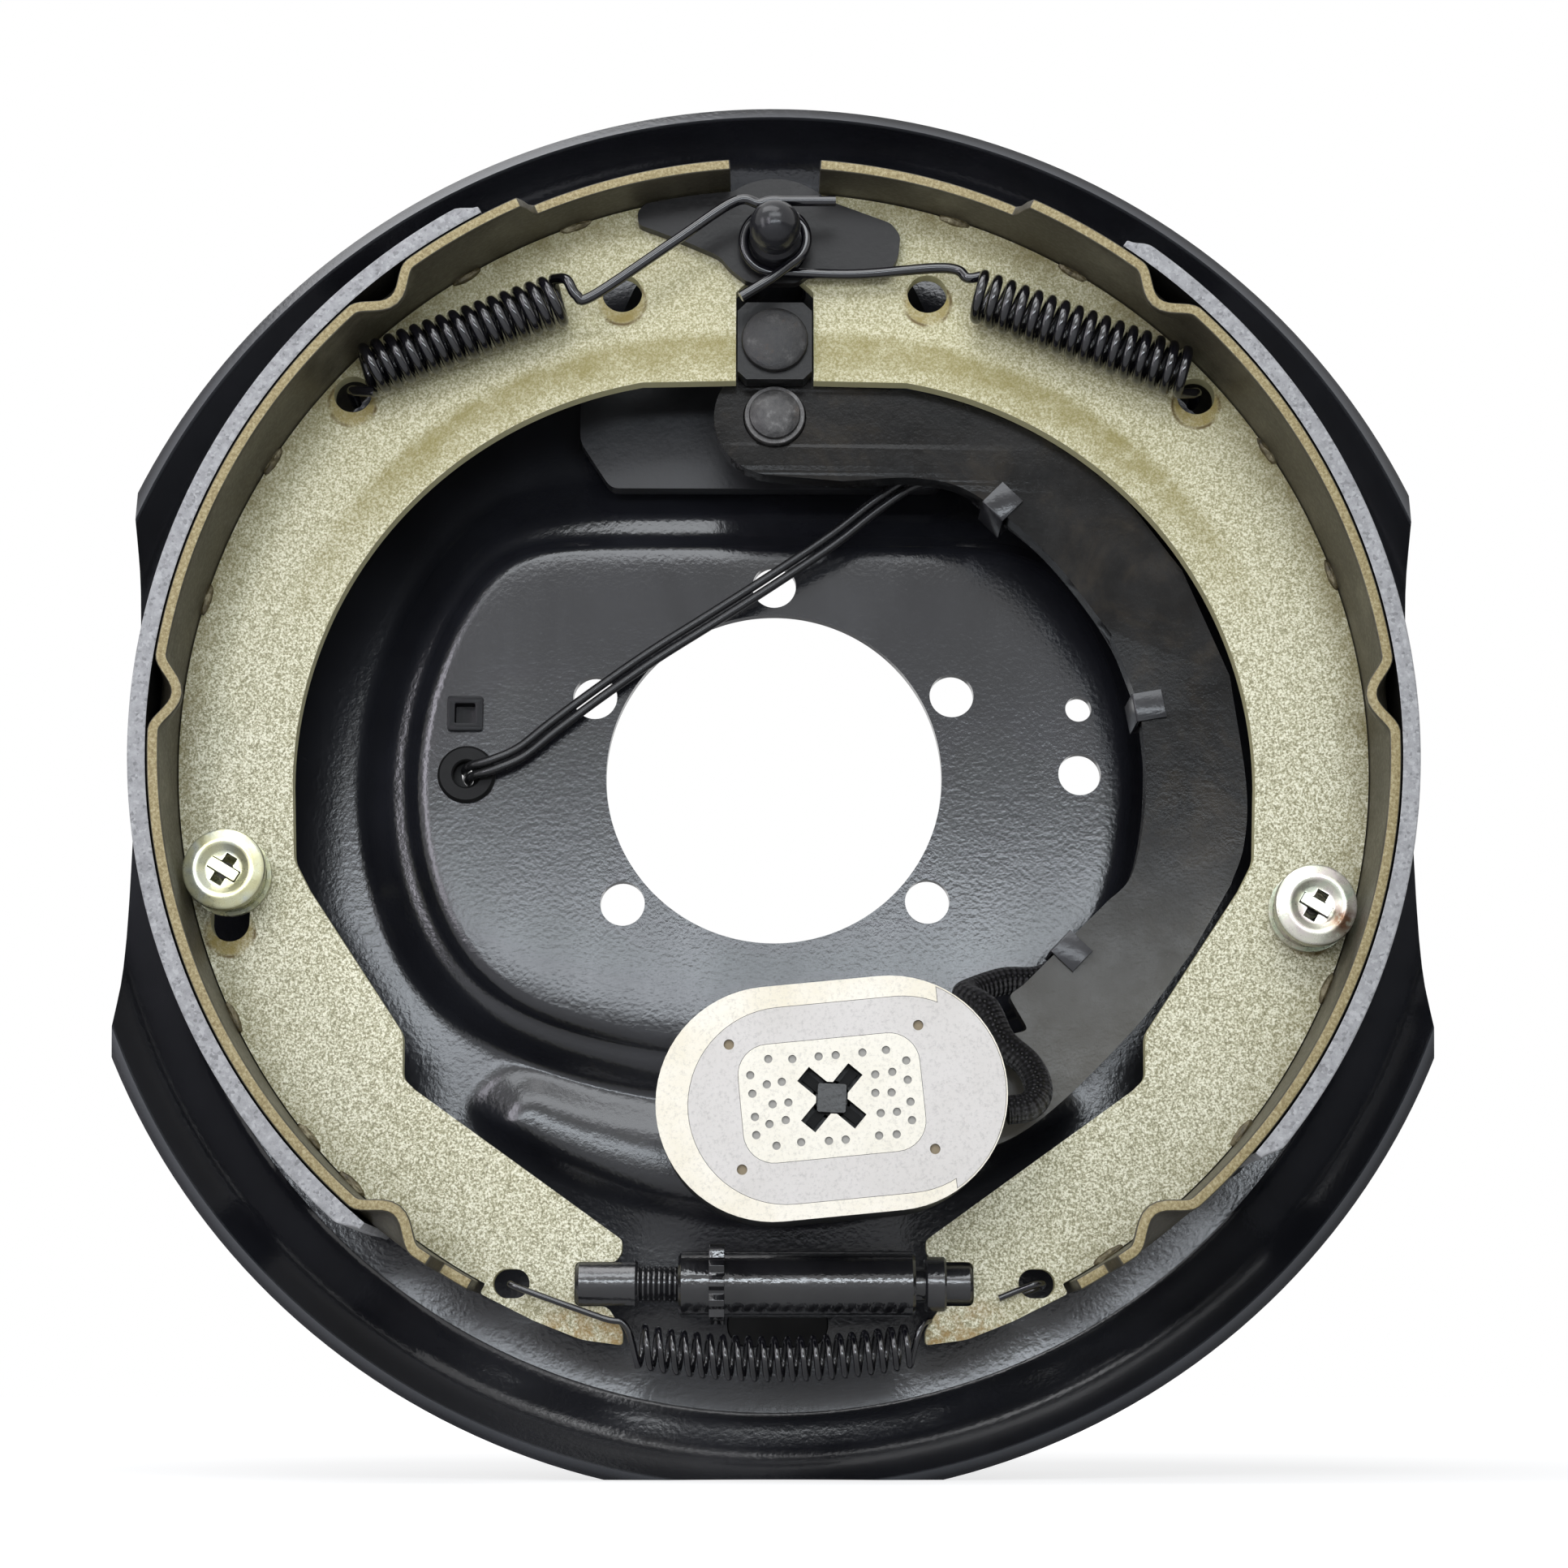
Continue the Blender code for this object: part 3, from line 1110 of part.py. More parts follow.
def harness(parent):
    sleeve = wire("braided_sleeve", curved(SLEEVE_ROUTE, 2), SLEEVE_RADIUS, 2)
    finish(sleeve, (0.02, 0.02, 0.02), parent)
    for number, side in enumerate((-1, 1), 1):
        lead = wire(f"lead_wire_{number}", curved(lead_route(side), 2), LEAD_RADIUS, 1)
        finish(lead, (0.02, 0.02, 0.02), FRAME)


CLIPS = (((0.0551, 0.0628), 45.0), ((0.0897, 0.0120), 10.0), ((0.0700, -0.0468), -44.0))
CLIP_SHEET = 0.0007
CLIP_WIDE = 0.0070
CLIP_REACH = 0.0060


def lever_clip(number, at, degrees, parent):
    """A sheet clip that hooks over the lever's inner edge and holds the sleeve behind it."""
    sheet, front = CLIP_SHEET, LEVER_FRONT + GAP / 2
    inside, back = -0.0008, SLEEVE_HEIGHT - SLEEVE_RADIUS - GAP
    outline = [(CLIP_REACH, front), (CLIP_REACH, front + sheet), (inside - sheet, front + sheet)]
    far = CLIP_REACH + 0.002
    outline += [(inside - sheet, back - sheet), (far, back - sheet), (far, back)]
    outline += [(inside, back), (inside, front)]
    clip = flat(f"lever_clip_{number}", [outline], -CLIP_WIDE / 2, CLIP_WIDE / 2)
    upright = Matrix.Rotation(math.radians(90), 3, "X")
    clip.rotation_euler = (Matrix.Rotation(math.radians(degrees), 3, "Z") @ upright).to_euler()
    clip.location = (*at, 0.0)
    return finish(clip, (0.04, 0.04, 0.042), parent)


def build():
    secondary_pivot = make_empty("secondary_shoe_pivot", FRAME, (0.0, POST_UP, ADJUSTER_HEIGHT))
    primary_pivot = make_empty("primary_shoe_pivot", FRAME, (ADJUSTER_HALF, ADJUSTER_UP, ADJUSTER_HEIGHT))
    lever_pivot = make_empty("lever_pivot", FRAME, (0.0, PIVOT_UP, LEVER_FRONT))
    block_pivot = make_empty("block_pivot", FRAME, (0.0, BLOCK_UP, BLOCK_REAR))
    magnet_slide = make_empty("magnet_slide", FRAME, (*MAGNET_AT, MAGNET_REAR))
    barrel_axis = make_empty("barrel_axis", FRAME, ADJUSTER_AT)
    stud_slide = make_empty("stud_slide", FRAME, (-ADJUSTER_HALF, ADJUSTER_UP, ADJUSTER_HEIGHT))

    backing_plate()
    anchor_bracket()
    anchor_post()
    guide_plate()
    pivot_pin()

    shoe_web("secondary_shoe_web", -1, SECONDARY_HOLD_AT, 0.0110, secondary_pivot)
    shoe_table("secondary_shoe_table", -1, secondary_pivot)
    shoe_lining("secondary_lining", -1, SECONDARY_LINING, secondary_pivot)
    shoe_web("primary_shoe_web", 1, PRIMARY_HOLD_AT, 0.0020, primary_pivot)
    shoe_table("primary_shoe_table", 1, primary_pivot)
    shoe_lining("primary_lining", 1, PRIMARY_LINING, primary_pivot)

    lever_arm(lever_pivot)
    lever_bushing(lever_pivot)
    block_stud(lever_pivot)
    actuator_block(block_pivot)
    for number, (at, degrees) in enumerate(CLIPS, 1):
        lever_clip(number, at, degrees, lever_pivot)

    magnet_shell(magnet_slide)
    magnet_core(magnet_slide)
    magnet_coil(magnet_slide)
    friction_pad(magnet_slide)
    magnet_pin(lever_pivot)
    magnet_spring(lever_pivot)

    secondary_return_spring()
    primary_return_spring()
    adjuster_stud(stud_slide)
    adjuster_barrel(barrel_axis)
    adjuster_socket(FRAME)
    adjuster_spring()
    hold_down("secondary", SECONDARY_HOLD_AT)
    hold_down("primary", PRIMARY_HOLD_AT)

    grommet()
    square_plug()
    slot_plug()
    harness(lever_pivot)


build()
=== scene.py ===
"""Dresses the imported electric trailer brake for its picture.

Each piece is drawn again at full fineness in the brake's own frame, where X is to the right, Y is
up and the third number is the height above the mounting face, towards the drum. Lengths are in
metres. The same numbers shape the solids of the part.
"""
import math

import bmesh
import bpy
from mathutils import Matrix, Vector, noise

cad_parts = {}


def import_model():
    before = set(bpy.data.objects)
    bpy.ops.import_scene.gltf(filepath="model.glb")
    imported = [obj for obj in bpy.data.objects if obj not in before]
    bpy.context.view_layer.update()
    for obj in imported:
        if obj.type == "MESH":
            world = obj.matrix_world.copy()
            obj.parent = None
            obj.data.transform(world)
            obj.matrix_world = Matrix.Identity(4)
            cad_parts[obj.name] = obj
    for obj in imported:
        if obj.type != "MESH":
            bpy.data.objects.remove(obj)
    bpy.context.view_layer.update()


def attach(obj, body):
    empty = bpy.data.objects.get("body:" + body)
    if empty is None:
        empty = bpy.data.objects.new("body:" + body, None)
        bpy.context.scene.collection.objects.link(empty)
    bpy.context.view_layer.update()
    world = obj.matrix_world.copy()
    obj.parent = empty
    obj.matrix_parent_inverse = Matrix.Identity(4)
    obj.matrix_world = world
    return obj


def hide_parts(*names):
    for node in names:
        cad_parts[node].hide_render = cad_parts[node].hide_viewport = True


GAP = 0.0003
MERGE = 0.00001
FINE = 4
CIRCLE_STEPS = 48
CUT_REACH = 0.03
FLAT_CREASE = 14.0
WIRE_CREASE = 60.0
STEEP = 50.0
NOISE_RANGE = (0.3, 0.7)

DRUM_RADIUS = 0.1524
DRUM_GAP = 0.0004
LINING_THICK = 0.0043
TABLE_THICK = 0.0027
SHOE_WIDTH = 0.0508
SHOE_REAR = 0.007
WEB_THICK = 0.004
LINING_RADIUS = DRUM_RADIUS - DRUM_GAP
TABLE_RADIUS = LINING_RADIUS - LINING_THICK - GAP
WEB_RADIUS = TABLE_RADIUS - TABLE_THICK - GAP
SHOE_FRONT = SHOE_REAR + SHOE_WIDTH
WEB_REAR = (SHOE_REAR + SHOE_FRONT - WEB_THICK) / 2
WEB_FRONT = WEB_REAR + WEB_THICK
WEB_SWEEP = ((0.0373, 0.0931), (0.0949, 0.0568), (0.1166, -0.0084))
PRIMARY_LINING = (-42.0, 55.0)
SECONDARY_LINING = (-51.0, 61.0)
TABLE_TOP = 85.6
TABLE_FOOT = -61.5
TABLE_STEP_TOP = 64.5
TABLE_STEP_FOOT = -57.5
TABLE_STEP_DEPTH = 0.0085
TABLE_ROWS = 24
DENT_ANGLES = (49.0, 3.5, -52.5)
DENT_DEPTH = 0.005
DENT_HALF_ANGLE = 3.6
DENT_REACH = 0.013

PLATE_THICK = 0.0032
PLATE_RADIUS = 0.178
RIM_FRONT = 0.013
FLOOR_FRONT = -0.004
HUB_RADIUS = 0.0425
MOUND_RADIUS = 0.0912
MOUND_TOP = 0.0618
MOUND_FOOT = 0.07
FOOT_BOW = 2.5
MOUND_SLOPE = 0.015
MOUND_EDGE = 0.0022
FLAT_SIDE = 0.1624
FLAT_FOOT = 0.173
STEP_RADIUS = 0.157
STEP_RISE = 0.0014
CHANNEL_RADIUS = 0.12
FLARE_RADIUS = 0.169
FLARE_RISE = 0.005
BEAD_RISE = 0.0035
BEAD_HALF_ANGLE = 43.0
BOLT_CIRCLE = 0.05
BOLT_ANGLES = (90.0, 155.6, 220.5, 320.4, 25.2)
BOLT_HOLE = 0.0056
SPARE_HOLE_AT = (0.0775, 0.0009)
SPARE_HOLE = 0.0054
SMALL_HOLE_AT = (0.0775, 0.0179)
SMALL_HOLE = 0.0033
REST_ANGLES = (52.0, 8.0, -40.0)
REST_RADIUS = 0.006
PLATE_STEPS = 240
PLATE_TURN = 0.37

BRACKET_HALF = 0.05
BRACKET_FOOT = 0.0746
BRACKET_TOP = 0.142
BRACKET_THICK = 0.005
BRACKET_FLANGE = 0.004
POST_UP = 0.1288
POST_RADIUS = 0.008
POST_GROOVE = 0.0063
POST_NOSE = 0.0063
POST_GROOVE_LENGTH = 0.0115
NOSE_STEPS = 12
PIVOT_UP = 0.0865
PIVOT_PIN = 0.006
BUSHING_WALL = 0.0013
BUSHING_FLANGE = 0.0076
RIVET_SPREAD = 0.002
RIVET_THICK = 0.0022
GUIDE_THICK = 0.003

LEVER_THICK = 0.006
LEVER_BOSS = 0.0152
LEVER_FRONT = WEB_REAR - GAP
LEVER_REAR = LEVER_FRONT - LEVER_THICK
BLOCK_UP = 0.1045
BLOCK_HALF_WIDE = 0.0093
BLOCK_HALF_TALL = 0.0101
BLOCK_CHAMFER = 0.0022
BLOCK_THICK = 0.0055
STUD_RADIUS = 0.0045
STUD_HEAD = 0.0083
STUD_HEAD_THICK = 0.0016
WEB_MOUTH = BLOCK_HALF_WIDE + 0.0004
CLIPS = (((0.0551, 0.0628), 45.0), ((0.0897, 0.012), 10.0), ((0.07, -0.0468), -44.0))
CLIP_SHEET = 0.0007
CLIP_WIDE = 0.007
CLIP_REACH = 0.006
CLIP_INSIDE = -0.0008

MAGNET_AT = (0.013, -0.0868)
MAGNET_LONG = 0.0804
MAGNET_WIDE = 0.0535
MAGNET_TILT = 5.5
MAGNET_DEEP = 0.024
MAGNET_FRONT = 0.062
MAGNET_WALL = 0.0075
MAGNET_BACK = 0.004
CORE_LONG = 0.0416
CORE_WIDE = 0.027
CORE_CORNER = 0.007
COIL_HEIGHT = 0.014
PIN_RADIUS = 0.0038
PIN_TILT = MAGNET_TILT - 8
PIN_ROOM = 0.0072
PIN_TIP = 0.0065
CROSS_REACH = 0.0085
CROSS_ARM = 0.0042
CROSS_DEPTH = 0.0045
MAGNET_TRAVEL = 0.0035
MAGNET_SPRING_RADIUS = 0.0075
MAGNET_SPRING_WIRE = 0.0007

SPRING_WIRE = 0.0013
SPRING_RADIUS = 0.0055
SPRING_TURNS = 16
SPRING_HOLE_AT = (0.105, 0.0907)
SPRING_HOLE = 0.0047
SPRING_SEEN_AT = (0.1015, 0.0941)
TOOL_HOLE_AT = (0.0383, 0.1175)
TOOL_HOLE = 0.005

ADJUSTER_UP = -0.1277
ADJUSTER_HALF = 0.0464
STUD_END_RADIUS = 0.0058
STUD_END_LENGTH = 0.0145
STUD_SLOT_LENGTH = 0.0136
STUD_SLOT_SPARE = 0.0004
SOCKET_SLOT_FROM = 0.0345
SOCKET_END_LENGTH = 0.0062
SOCKET_DEPTH = 0.018
THREAD_RADIUS = 0.0043
THREAD_SHOWN = 0.0095
THREAD_PITCH = 0.00125
THREAD_DEPTH = 0.0006
BARREL_RADIUS = 0.0077
BARREL_RIGHT = 0.033
STAR_RADIUS = 0.0094
STAR_ROOT = 0.008
STAR_TEETH = 12
STAR_FROM = -0.0152
STAR_THICK = 0.0036
SOCKET_COLLAR = 0.0068
SOCKET_COLLAR_LENGTH = 0.0049
SOCKET_END = 0.0048
SLOT_HALF = 0.0051
SLOT_KEY = 0.0044
FOOT_WIRE = 0.00075
FOOT_SPRING_RADIUS = 0.0046
FOOT_SPRING_TURNS = 21
FOOT_SPRING_HALF = 0.0315
FOOT_SPRING_UP = -0.142
FOOT_SPRING_SAG = 0.003
FOOT_HOLE_AT = (0.0615, -0.1276)
FOOT_HOLE_LONG = 0.0086
FOOT_HOLE_WIDE = 0.0068

SECONDARY_HOLD_AT = (-0.1304, -0.0313)
PRIMARY_HOLD_AT = (0.1282, -0.0396)
HOLD_PIN = 0.002
HOLD_CUP = 0.0098
HOLD_CUP_DEEP = 0.0022
HOLD_WELL = 0.0016
HOLD_SHEET = 0.0008
HOLD_UNDER = 0.0028
NAIL_HEAD = (0.0074, 0.0024)
HOLD_SPRING_RADIUS = 0.0066
HOLD_SPRING_WIRE = 0.0008
HOLD_HEIGHT = 0.0125
HOLD_HOLE = 0.0046
HOLD_CROSS_TURN = -31

LEAD_RADIUS = 0.00115
SLEEVE_RADIUS = 0.0034
SLEEVE_SIDES = 40
BRAID_LENGTH = 0.0214
BRAID_STRANDS = 7.0
BRAID_THREADS = 90.0
GROMMET_AT = (-0.0778, 0.0005)
GROMMET_HOLE = 0.0058
GROMMET_LIP = 0.0074
GROMMET_BORE = 0.0034
PLUG_AT = (-0.0785, 0.0163)
PLUG_HALF = 0.0034
SLOT_PLUG_AT = (0.001, -0.1363)
SLOT_PLUG_LONG = 0.025
SLOT_PLUG_WIDE = 0.011

BRACKET_REAR = PLATE_THICK + GAP
BRACKET_FRONT = BRACKET_REAR + BRACKET_THICK
FLOOR_REAR = FLOOR_FRONT - PLATE_THICK
GUIDE_REAR = WEB_FRONT + GAP
GUIDE_FRONT = GUIDE_REAR + GUIDE_THICK
GROOVE_REAR = GUIDE_FRONT + GAP
GROOVE_FRONT = GROOVE_REAR + POST_GROOVE_LENGTH
BLOCK_REAR = LEVER_FRONT + GAP
BLOCK_FRONT = BLOCK_REAR + BLOCK_THICK
MAGNET_REAR = MAGNET_FRONT - MAGNET_DEEP
POT_FLOOR = MAGNET_REAR + MAGNET_BACK
SPRING_HEIGHT = WEB_FRONT + GAP + SPRING_WIRE + SPRING_RADIUS
WRAP = POST_GROOVE + GAP + SPRING_WIRE
ADJUSTER_HEIGHT = (WEB_REAR + WEB_FRONT) / 2
ADJUSTER_AT = (0.0, ADJUSTER_UP, ADJUSTER_HEIGHT)
BARREL_LEFT = -ADJUSTER_HALF + STUD_END_LENGTH + THREAD_SHOWN
SLEEVE_HEIGHT = LEVER_REAR - GAP - SLEEVE_RADIUS
LEAD_SPACING = LEAD_RADIUS + GAP / 2

PHOTO_PIXELS = 1932.0
FOCAL_PIXELS = 3600.0
SENSOR_WIDTH = 36.0
CAMERA_AT = (-0.00278, -0.72778, -0.15153)
CAMERA_TILT = 11.68
CAMERA_TURN = -0.42
FLOOR_TONE = (0.66, 0.66, 0.66)
FLOOR_HALF = 6

TURN = Matrix.Rotation(math.radians(90), 4, "X")

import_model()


def millimetres(*places):
    """Places given in millimetres, in metres."""
    return [tuple(number / 1000 for number in place) for place in places]


def world(x, y, h):
    """A point of the brake's frame in world coordinates."""
    return (x, -h, y)


class Graph:
    """Adds nodes to a node tree and links them."""

    def __init__(self, tree):
        self.tree = tree

    def link(self, value, target):
        if isinstance(value, bpy.types.NodeSocket):
            self.tree.links.new(value, target)
        elif isinstance(value, tuple) and len(value) == 3 and len(target.default_value) == 4:
            target.default_value = (*value, 1.0)
        else:
            target.default_value = value

    def node(self, kind, inputs=None, **settings):
        made = self.tree.nodes.new("ShaderNode" + kind)
        for key, value in settings.items():
            setattr(made, key, value)
        for key, value in (inputs or {}).items():
            self.link(value, made.inputs[key])
        return made


class Look(Graph):
    """A material built from nodes. Places are in object coordinates, which are the row's own."""

    def __init__(self, name, **sockets):
        self.material = bpy.data.materials.new(name)
        self.material.use_nodes = True
        super().__init__(self.material.node_tree)
        self.shader = self.tree.nodes["Principled BSDF"]
        for socket, value in sockets.items():
            self.feed(socket, value)
        self.coordinates = self.node("TexCoord").outputs["Object"]
        self.parts = self.node("SeparateXYZ", {0: self.coordinates}).outputs
        self.normal = None

    def feed(self, socket, value):
        """Gives a socket of the shader a number, a colour or another node's output."""
        self.link(value, self.shader.inputs[socket])

    def coat(self, colour, rough):
        self.feed("Base Color", colour)
        self.feed("Roughness", rough)

    def noise(self, scale, detail=3.0, roughness=0.5, stretch=None, distortion=0.0):
        place = self.coordinates
        if stretch:
            place = self.node("Mapping", {"Vector": place, "Scale": stretch}).outputs["Vector"]
        inputs = {"Vector": place, "Scale": scale, "Detail": detail, "Roughness": roughness}
        return self.node("TexNoise", {**inputs, "Distortion": distortion}).outputs["Fac"]

    def ramp(self, factor, *stops):
        """Maps a number to a colour or a grey between stops of (position, value)."""
        made = self.node("ValToRGB", {"Fac": factor})
        band = made.color_ramp
        for k, (position, value) in enumerate(stops):
            colour = (*value, 1.0) if isinstance(value, tuple) else (value, value, value, 1.0)
            stop = band.elements[k] if k < 2 else band.elements.new(position)
            stop.position = position
            stop.color = colour
        return made.outputs["Color"]

    def level(self, value, low, high, to_low=0.0, to_high=1.0):
        inputs = {"Value": value, "From Min": low, "From Max": high}
        inputs |= {"To Min": to_low, "To Max": to_high}
        return self.node("MapRange", inputs).outputs["Result"]

    def spread(self, value, low, high):
        """Maps the range that a noise mostly keeps to."""
        return self.level(value, *NOISE_RANGE, low, high)

    def mix(self, factor, a, b):
        return self.node("Mix", {0: factor, 6: a, 7: b}, data_type="RGBA").outputs[2]

    def math(self, operation, a, b=0.0):
        return self.node("Math", {0: a, 1: b}, operation=operation).outputs[0]

    def times(self, a, b):
        return self.math("MULTIPLY", a, b)

    def over(self, colour, tone, first, second):
        """Lays a tone over a colour, as strongly as two amounts multiplied."""
        return self.mix(self.times(first, second), colour, tone)

    def distance(self, a, b):
        return self.node("VectorMath", {0: a, 1: b}, operation="DISTANCE").outputs["Value"]

    def near(self, places, radius, soft):
        """1 close to any of the places and 0 away from them."""
        nearest = None
        for place in places:
            value = self.distance(self.coordinates, place)
            nearest = value if nearest is None else self.math("MINIMUM", nearest, value)
        return self.level(nearest, radius + soft, radius)

    def height(self):
        """How far a point stands above the mounting face, in metres."""
        return self.times(self.parts["Y"], -1.0)

    def facing(self):
        """1 where the surface faces the drum's side or the rear squarely, 0 on its edges."""
        normal = self.node("NewGeometry").outputs["Normal"]
        return self.math("ABSOLUTE", self.node("SeparateXYZ", {0: normal}).outputs["Y"])

    def from_middle(self, x, y):
        """The distance from the line above a point, with left and right folded together."""
        side = self.math("ABSOLUTE", self.parts["X"])
        place = self.node("CombineXYZ", {"X": side, "Z": self.parts["Z"]}).outputs["Vector"]
        return self.distance(place, (x, 0.0, y))

    def bump(self, height, strength, distance):
        inputs = {"Height": height, "Strength": strength, "Distance": distance}
        if self.normal is not None:
            inputs["Normal"] = self.normal
        self.normal = self.node("Bump", inputs).outputs["Normal"]
        self.feed("Normal", self.normal)


def black_coat(name, base, rough, peel=1.0, wear_and_sheen=0.0, ior=1.45):
    """Black paint with a fine orange peel, dust-like mottling and, if asked, worn grey patches."""
    look = Look(name, IOR=ior)
    mottle = look.noise(38.0, 5.0, 0.62)
    fine = look.noise(420.0, 3.0, 0.6)
    lighter = tuple(min(1.0, c * 2.1 + 0.006) for c in base)
    colour = look.ramp(mottle, (0.35, base), (0.72, lighter))
    if wear_and_sheen:
        stops = ((0.6 - 0.12 * wear_and_sheen, 0.0), (0.72 - 0.08 * wear_and_sheen, 1.0))
        rub = look.ramp(look.noise(95.0, 6.0, 0.7), *stops)
        colour = look.over(colour, (0.085, 0.082, 0.078), rub, min(1.0, wear_and_sheen))
    look.coat(colour, look.level(mottle, 0.3, 0.75, rough - 0.12, rough + 0.02))
    look.bump(look.noise(900.0, 2.0, 0.5), 0.1 * peel, 0.0004)
    look.bump(fine, 0.06 * peel, 0.0008)
    return look.material


def spring_steel(name):
    look = Look(name, IOR=1.62)
    dark, light = (0.002, 0.002, 0.003), (0.006, 0.0055, 0.009)
    look.coat(
        look.ramp(look.noise(120.0, 4.0, 0.6), (0.3, dark), (0.8, light)),
        look.spread(look.noise(260.0, 3.0), 0.1, 0.2),
    )
    look.feed("Coat Weight", 0.25)
    look.feed("Coat Roughness", 0.08)
    look.bump(look.noise(700.0, 2.0), 0.08, 0.0003)
    return look.material


def shoe_steel(name, holes):
    """Sandy, olive-gold passivated steel with brown stains round its holes and near its inner edge,
    and a darker band along its outer edge that is partly stain and partly painted shade cast by the
    table.
    """
    look = Look(name)
    grain = look.noise(1900.0, 3.0, 0.74)
    speck = look.noise(2600.0, 2.0, 0.7)
    cloud = look.noise(26.0, 5.0, 0.6)
    up = look.parts["Z"]
    colour = look.ramp(
        grain, (0.38, (0.12, 0.108, 0.04)), (0.5, (0.49, 0.465, 0.305)), (0.6, (0.92, 0.9, 0.74))
    )
    tint = look.ramp(cloud, (0.35, (0.43, 0.405, 0.255)), (0.65, (0.53, 0.51, 0.375)))
    colour = look.mix(0.25, colour, tint)
    golden = look.times(look.level(up, 0.0, 0.1), 0.38)
    colour = look.mix(golden, colour, (0.42, 0.375, 0.17))
    blotch = look.level(look.noise(120.0, 5.0, 0.7, distortion=0.5), 0.34, 0.62)
    centre, radius = circle_through(*WEB_SWEEP)
    inside = look.math("SUBTRACT", look.from_middle(*centre), radius)
    fade = look.level(inside, 0.001, 0.006, 0.35, 1.0)
    band = look.times(look.level(inside, 0.0125, 0.0095), fade)
    band = look.times(band, look.level(up, 0.03, 0.075))
    colour = look.over(colour, (0.22, 0.185, 0.045), band, look.level(blotch, 0.0, 1.0, 0.35, 0.85))
    # Painted shade and stain: the darker olive band along the outer edge, stronger towards the top,
    # stands partly for the shade that the table casts on the web.
    outer = look.level(look.from_middle(0.0, 0.0), WEB_RADIUS - 0.0085, WEB_RADIUS - 0.001)
    outer = look.times(outer, look.level(up, -0.1, 0.02, 0.35, 0.75))
    colour = look.over(colour, (0.2, 0.165, 0.055), outer, blotch)
    drip = look.times(look.near(holes, 0.005, 0.0016), look.level(blotch, 0.0, 1.0, 0.45, 0.95))
    colour = look.mix(drip, colour, (0.27, 0.205, 0.05))
    rim = look.math("SUBTRACT", look.near(holes, 0.006, 0.0005), look.near(holes, 0.0053, 0.0005))
    colour = look.over(colour, (0.12, 0.08, 0.02), rim, look.level(blotch, 0.3, 0.8))
    fleck = look.level(look.noise(640.0, 3.0, 0.8), 0.66, 0.7)
    colour = look.over(colour, (0.09, 0.075, 0.04), fleck, look.level(up, 0.02, -0.08, 0.15, 0.8))
    places = []
    for side in (-1, 1):
        for x, y in ((0.037, -0.1402), (0.047, -0.1392)):
            places.append(world(side * x, y, WEB_FRONT))
    patchy = look.level(look.noise(260.0, 4.0, 0.7), 0.4, 0.6)
    rust = look.times(look.near(places, 0.004, 0.005), patchy)
    colour = look.over(colour, (0.27, 0.165, 0.04), rust, 0.85)
    colour = look.mix(look.level(look.facing(), 0.75, 0.35), colour, (0.66, 0.62, 0.36))
    look.coat(colour, look.spread(speck, 0.4, 0.6))
    look.feed("Metallic", 0.2)
    look.bump(grain, 0.4, 0.0004)
    look.bump(speck, 0.14, 0.0002)
    return look.material


def table_steel(name):
    """The shoe's table: bright gold at its cut edges, and painted shade that makes its other faces
    a dark olive grey.
    """
    look = Look(name)
    fine = look.noise(900.0, 4.0, 0.7)
    soft = look.noise(48.0, 4.0, 0.6, distortion=0.4)
    edge = look.level(look.facing(), 0.92, 0.985)
    # Painted shade: the faces that don't face the drum side or the rear squarely get this dark
    # olive grey.
    inner = look.ramp(
        soft, (0.32, (0.036, 0.031, 0.02)), (0.56, (0.062, 0.055, 0.037)),
        (0.76, (0.125, 0.115, 0.08)),
    )
    inner = look.mix(look.level(fine, 0.6, 0.78, 0.0, 0.5), inner, (0.19, 0.175, 0.12))
    across = look.from_middle(0.0, 0.0)
    outside = look.level(across, TABLE_RADIUS + 0.0006, TABLE_RADIUS - 0.0002)
    darkening = look.math("MAXIMUM", outside, look.level(soft, 0.35, 0.3))
    bright = look.ramp(
        look.noise(1300.0, 4.0, 0.7), (0.34, (0.2, 0.145, 0.05)), (0.5, (0.4, 0.33, 0.15)),
        (0.66, (0.66, 0.59, 0.35)),
    )
    bright = look.over(bright, (0.12, 0.085, 0.03), darkening, 0.55)
    look.coat(look.mix(edge, inner, bright), look.spread(fine, 0.34, 0.55))
    look.feed("Metallic", 0.15)
    look.bump(fine, 0.2, 0.0004)
    return look.material


def lining_look(name):
    """Pressed friction material: mid grey with a fine grain, black with glue on its inner side."""
    look = Look(name)
    cells = look.node("TexVoronoi", {"Vector": look.coordinates, "Scale": 1500.0}).outputs["Color"]
    tone = look.node("SeparateColor", {0: cells}).outputs[0]
    base = look.ramp(
        look.noise(420.0, 5.0, 0.75), (0.32, (0.255, 0.255, 0.26)), (0.68, (0.41, 0.41, 0.415))
    )
    colour = look.mix(look.level(tone, 0.84, 0.9, 0.0, 0.35), base, (0.55, 0.55, 0.55))
    colour = look.mix(look.level(tone, 0.14, 0.08, 0.0, 0.4), colour, (0.09, 0.09, 0.092))
    normal = look.node("NewGeometry").outputs["Normal"]
    inward = look.node("VectorMath", {0: normal, 1: look.coordinates}, operation="DOT_PRODUCT")
    glued = look.level(inward.outputs["Value"], -0.06, -0.1)
    look.coat(
        look.mix(glued, colour, (0.007, 0.007, 0.007)), look.level(glued, 0.0, 1.0, 0.86, 0.18)
    )
    look.bump(look.noise(1000.0, 4.0, 0.7), 0.35, 0.0005)
    return look.material


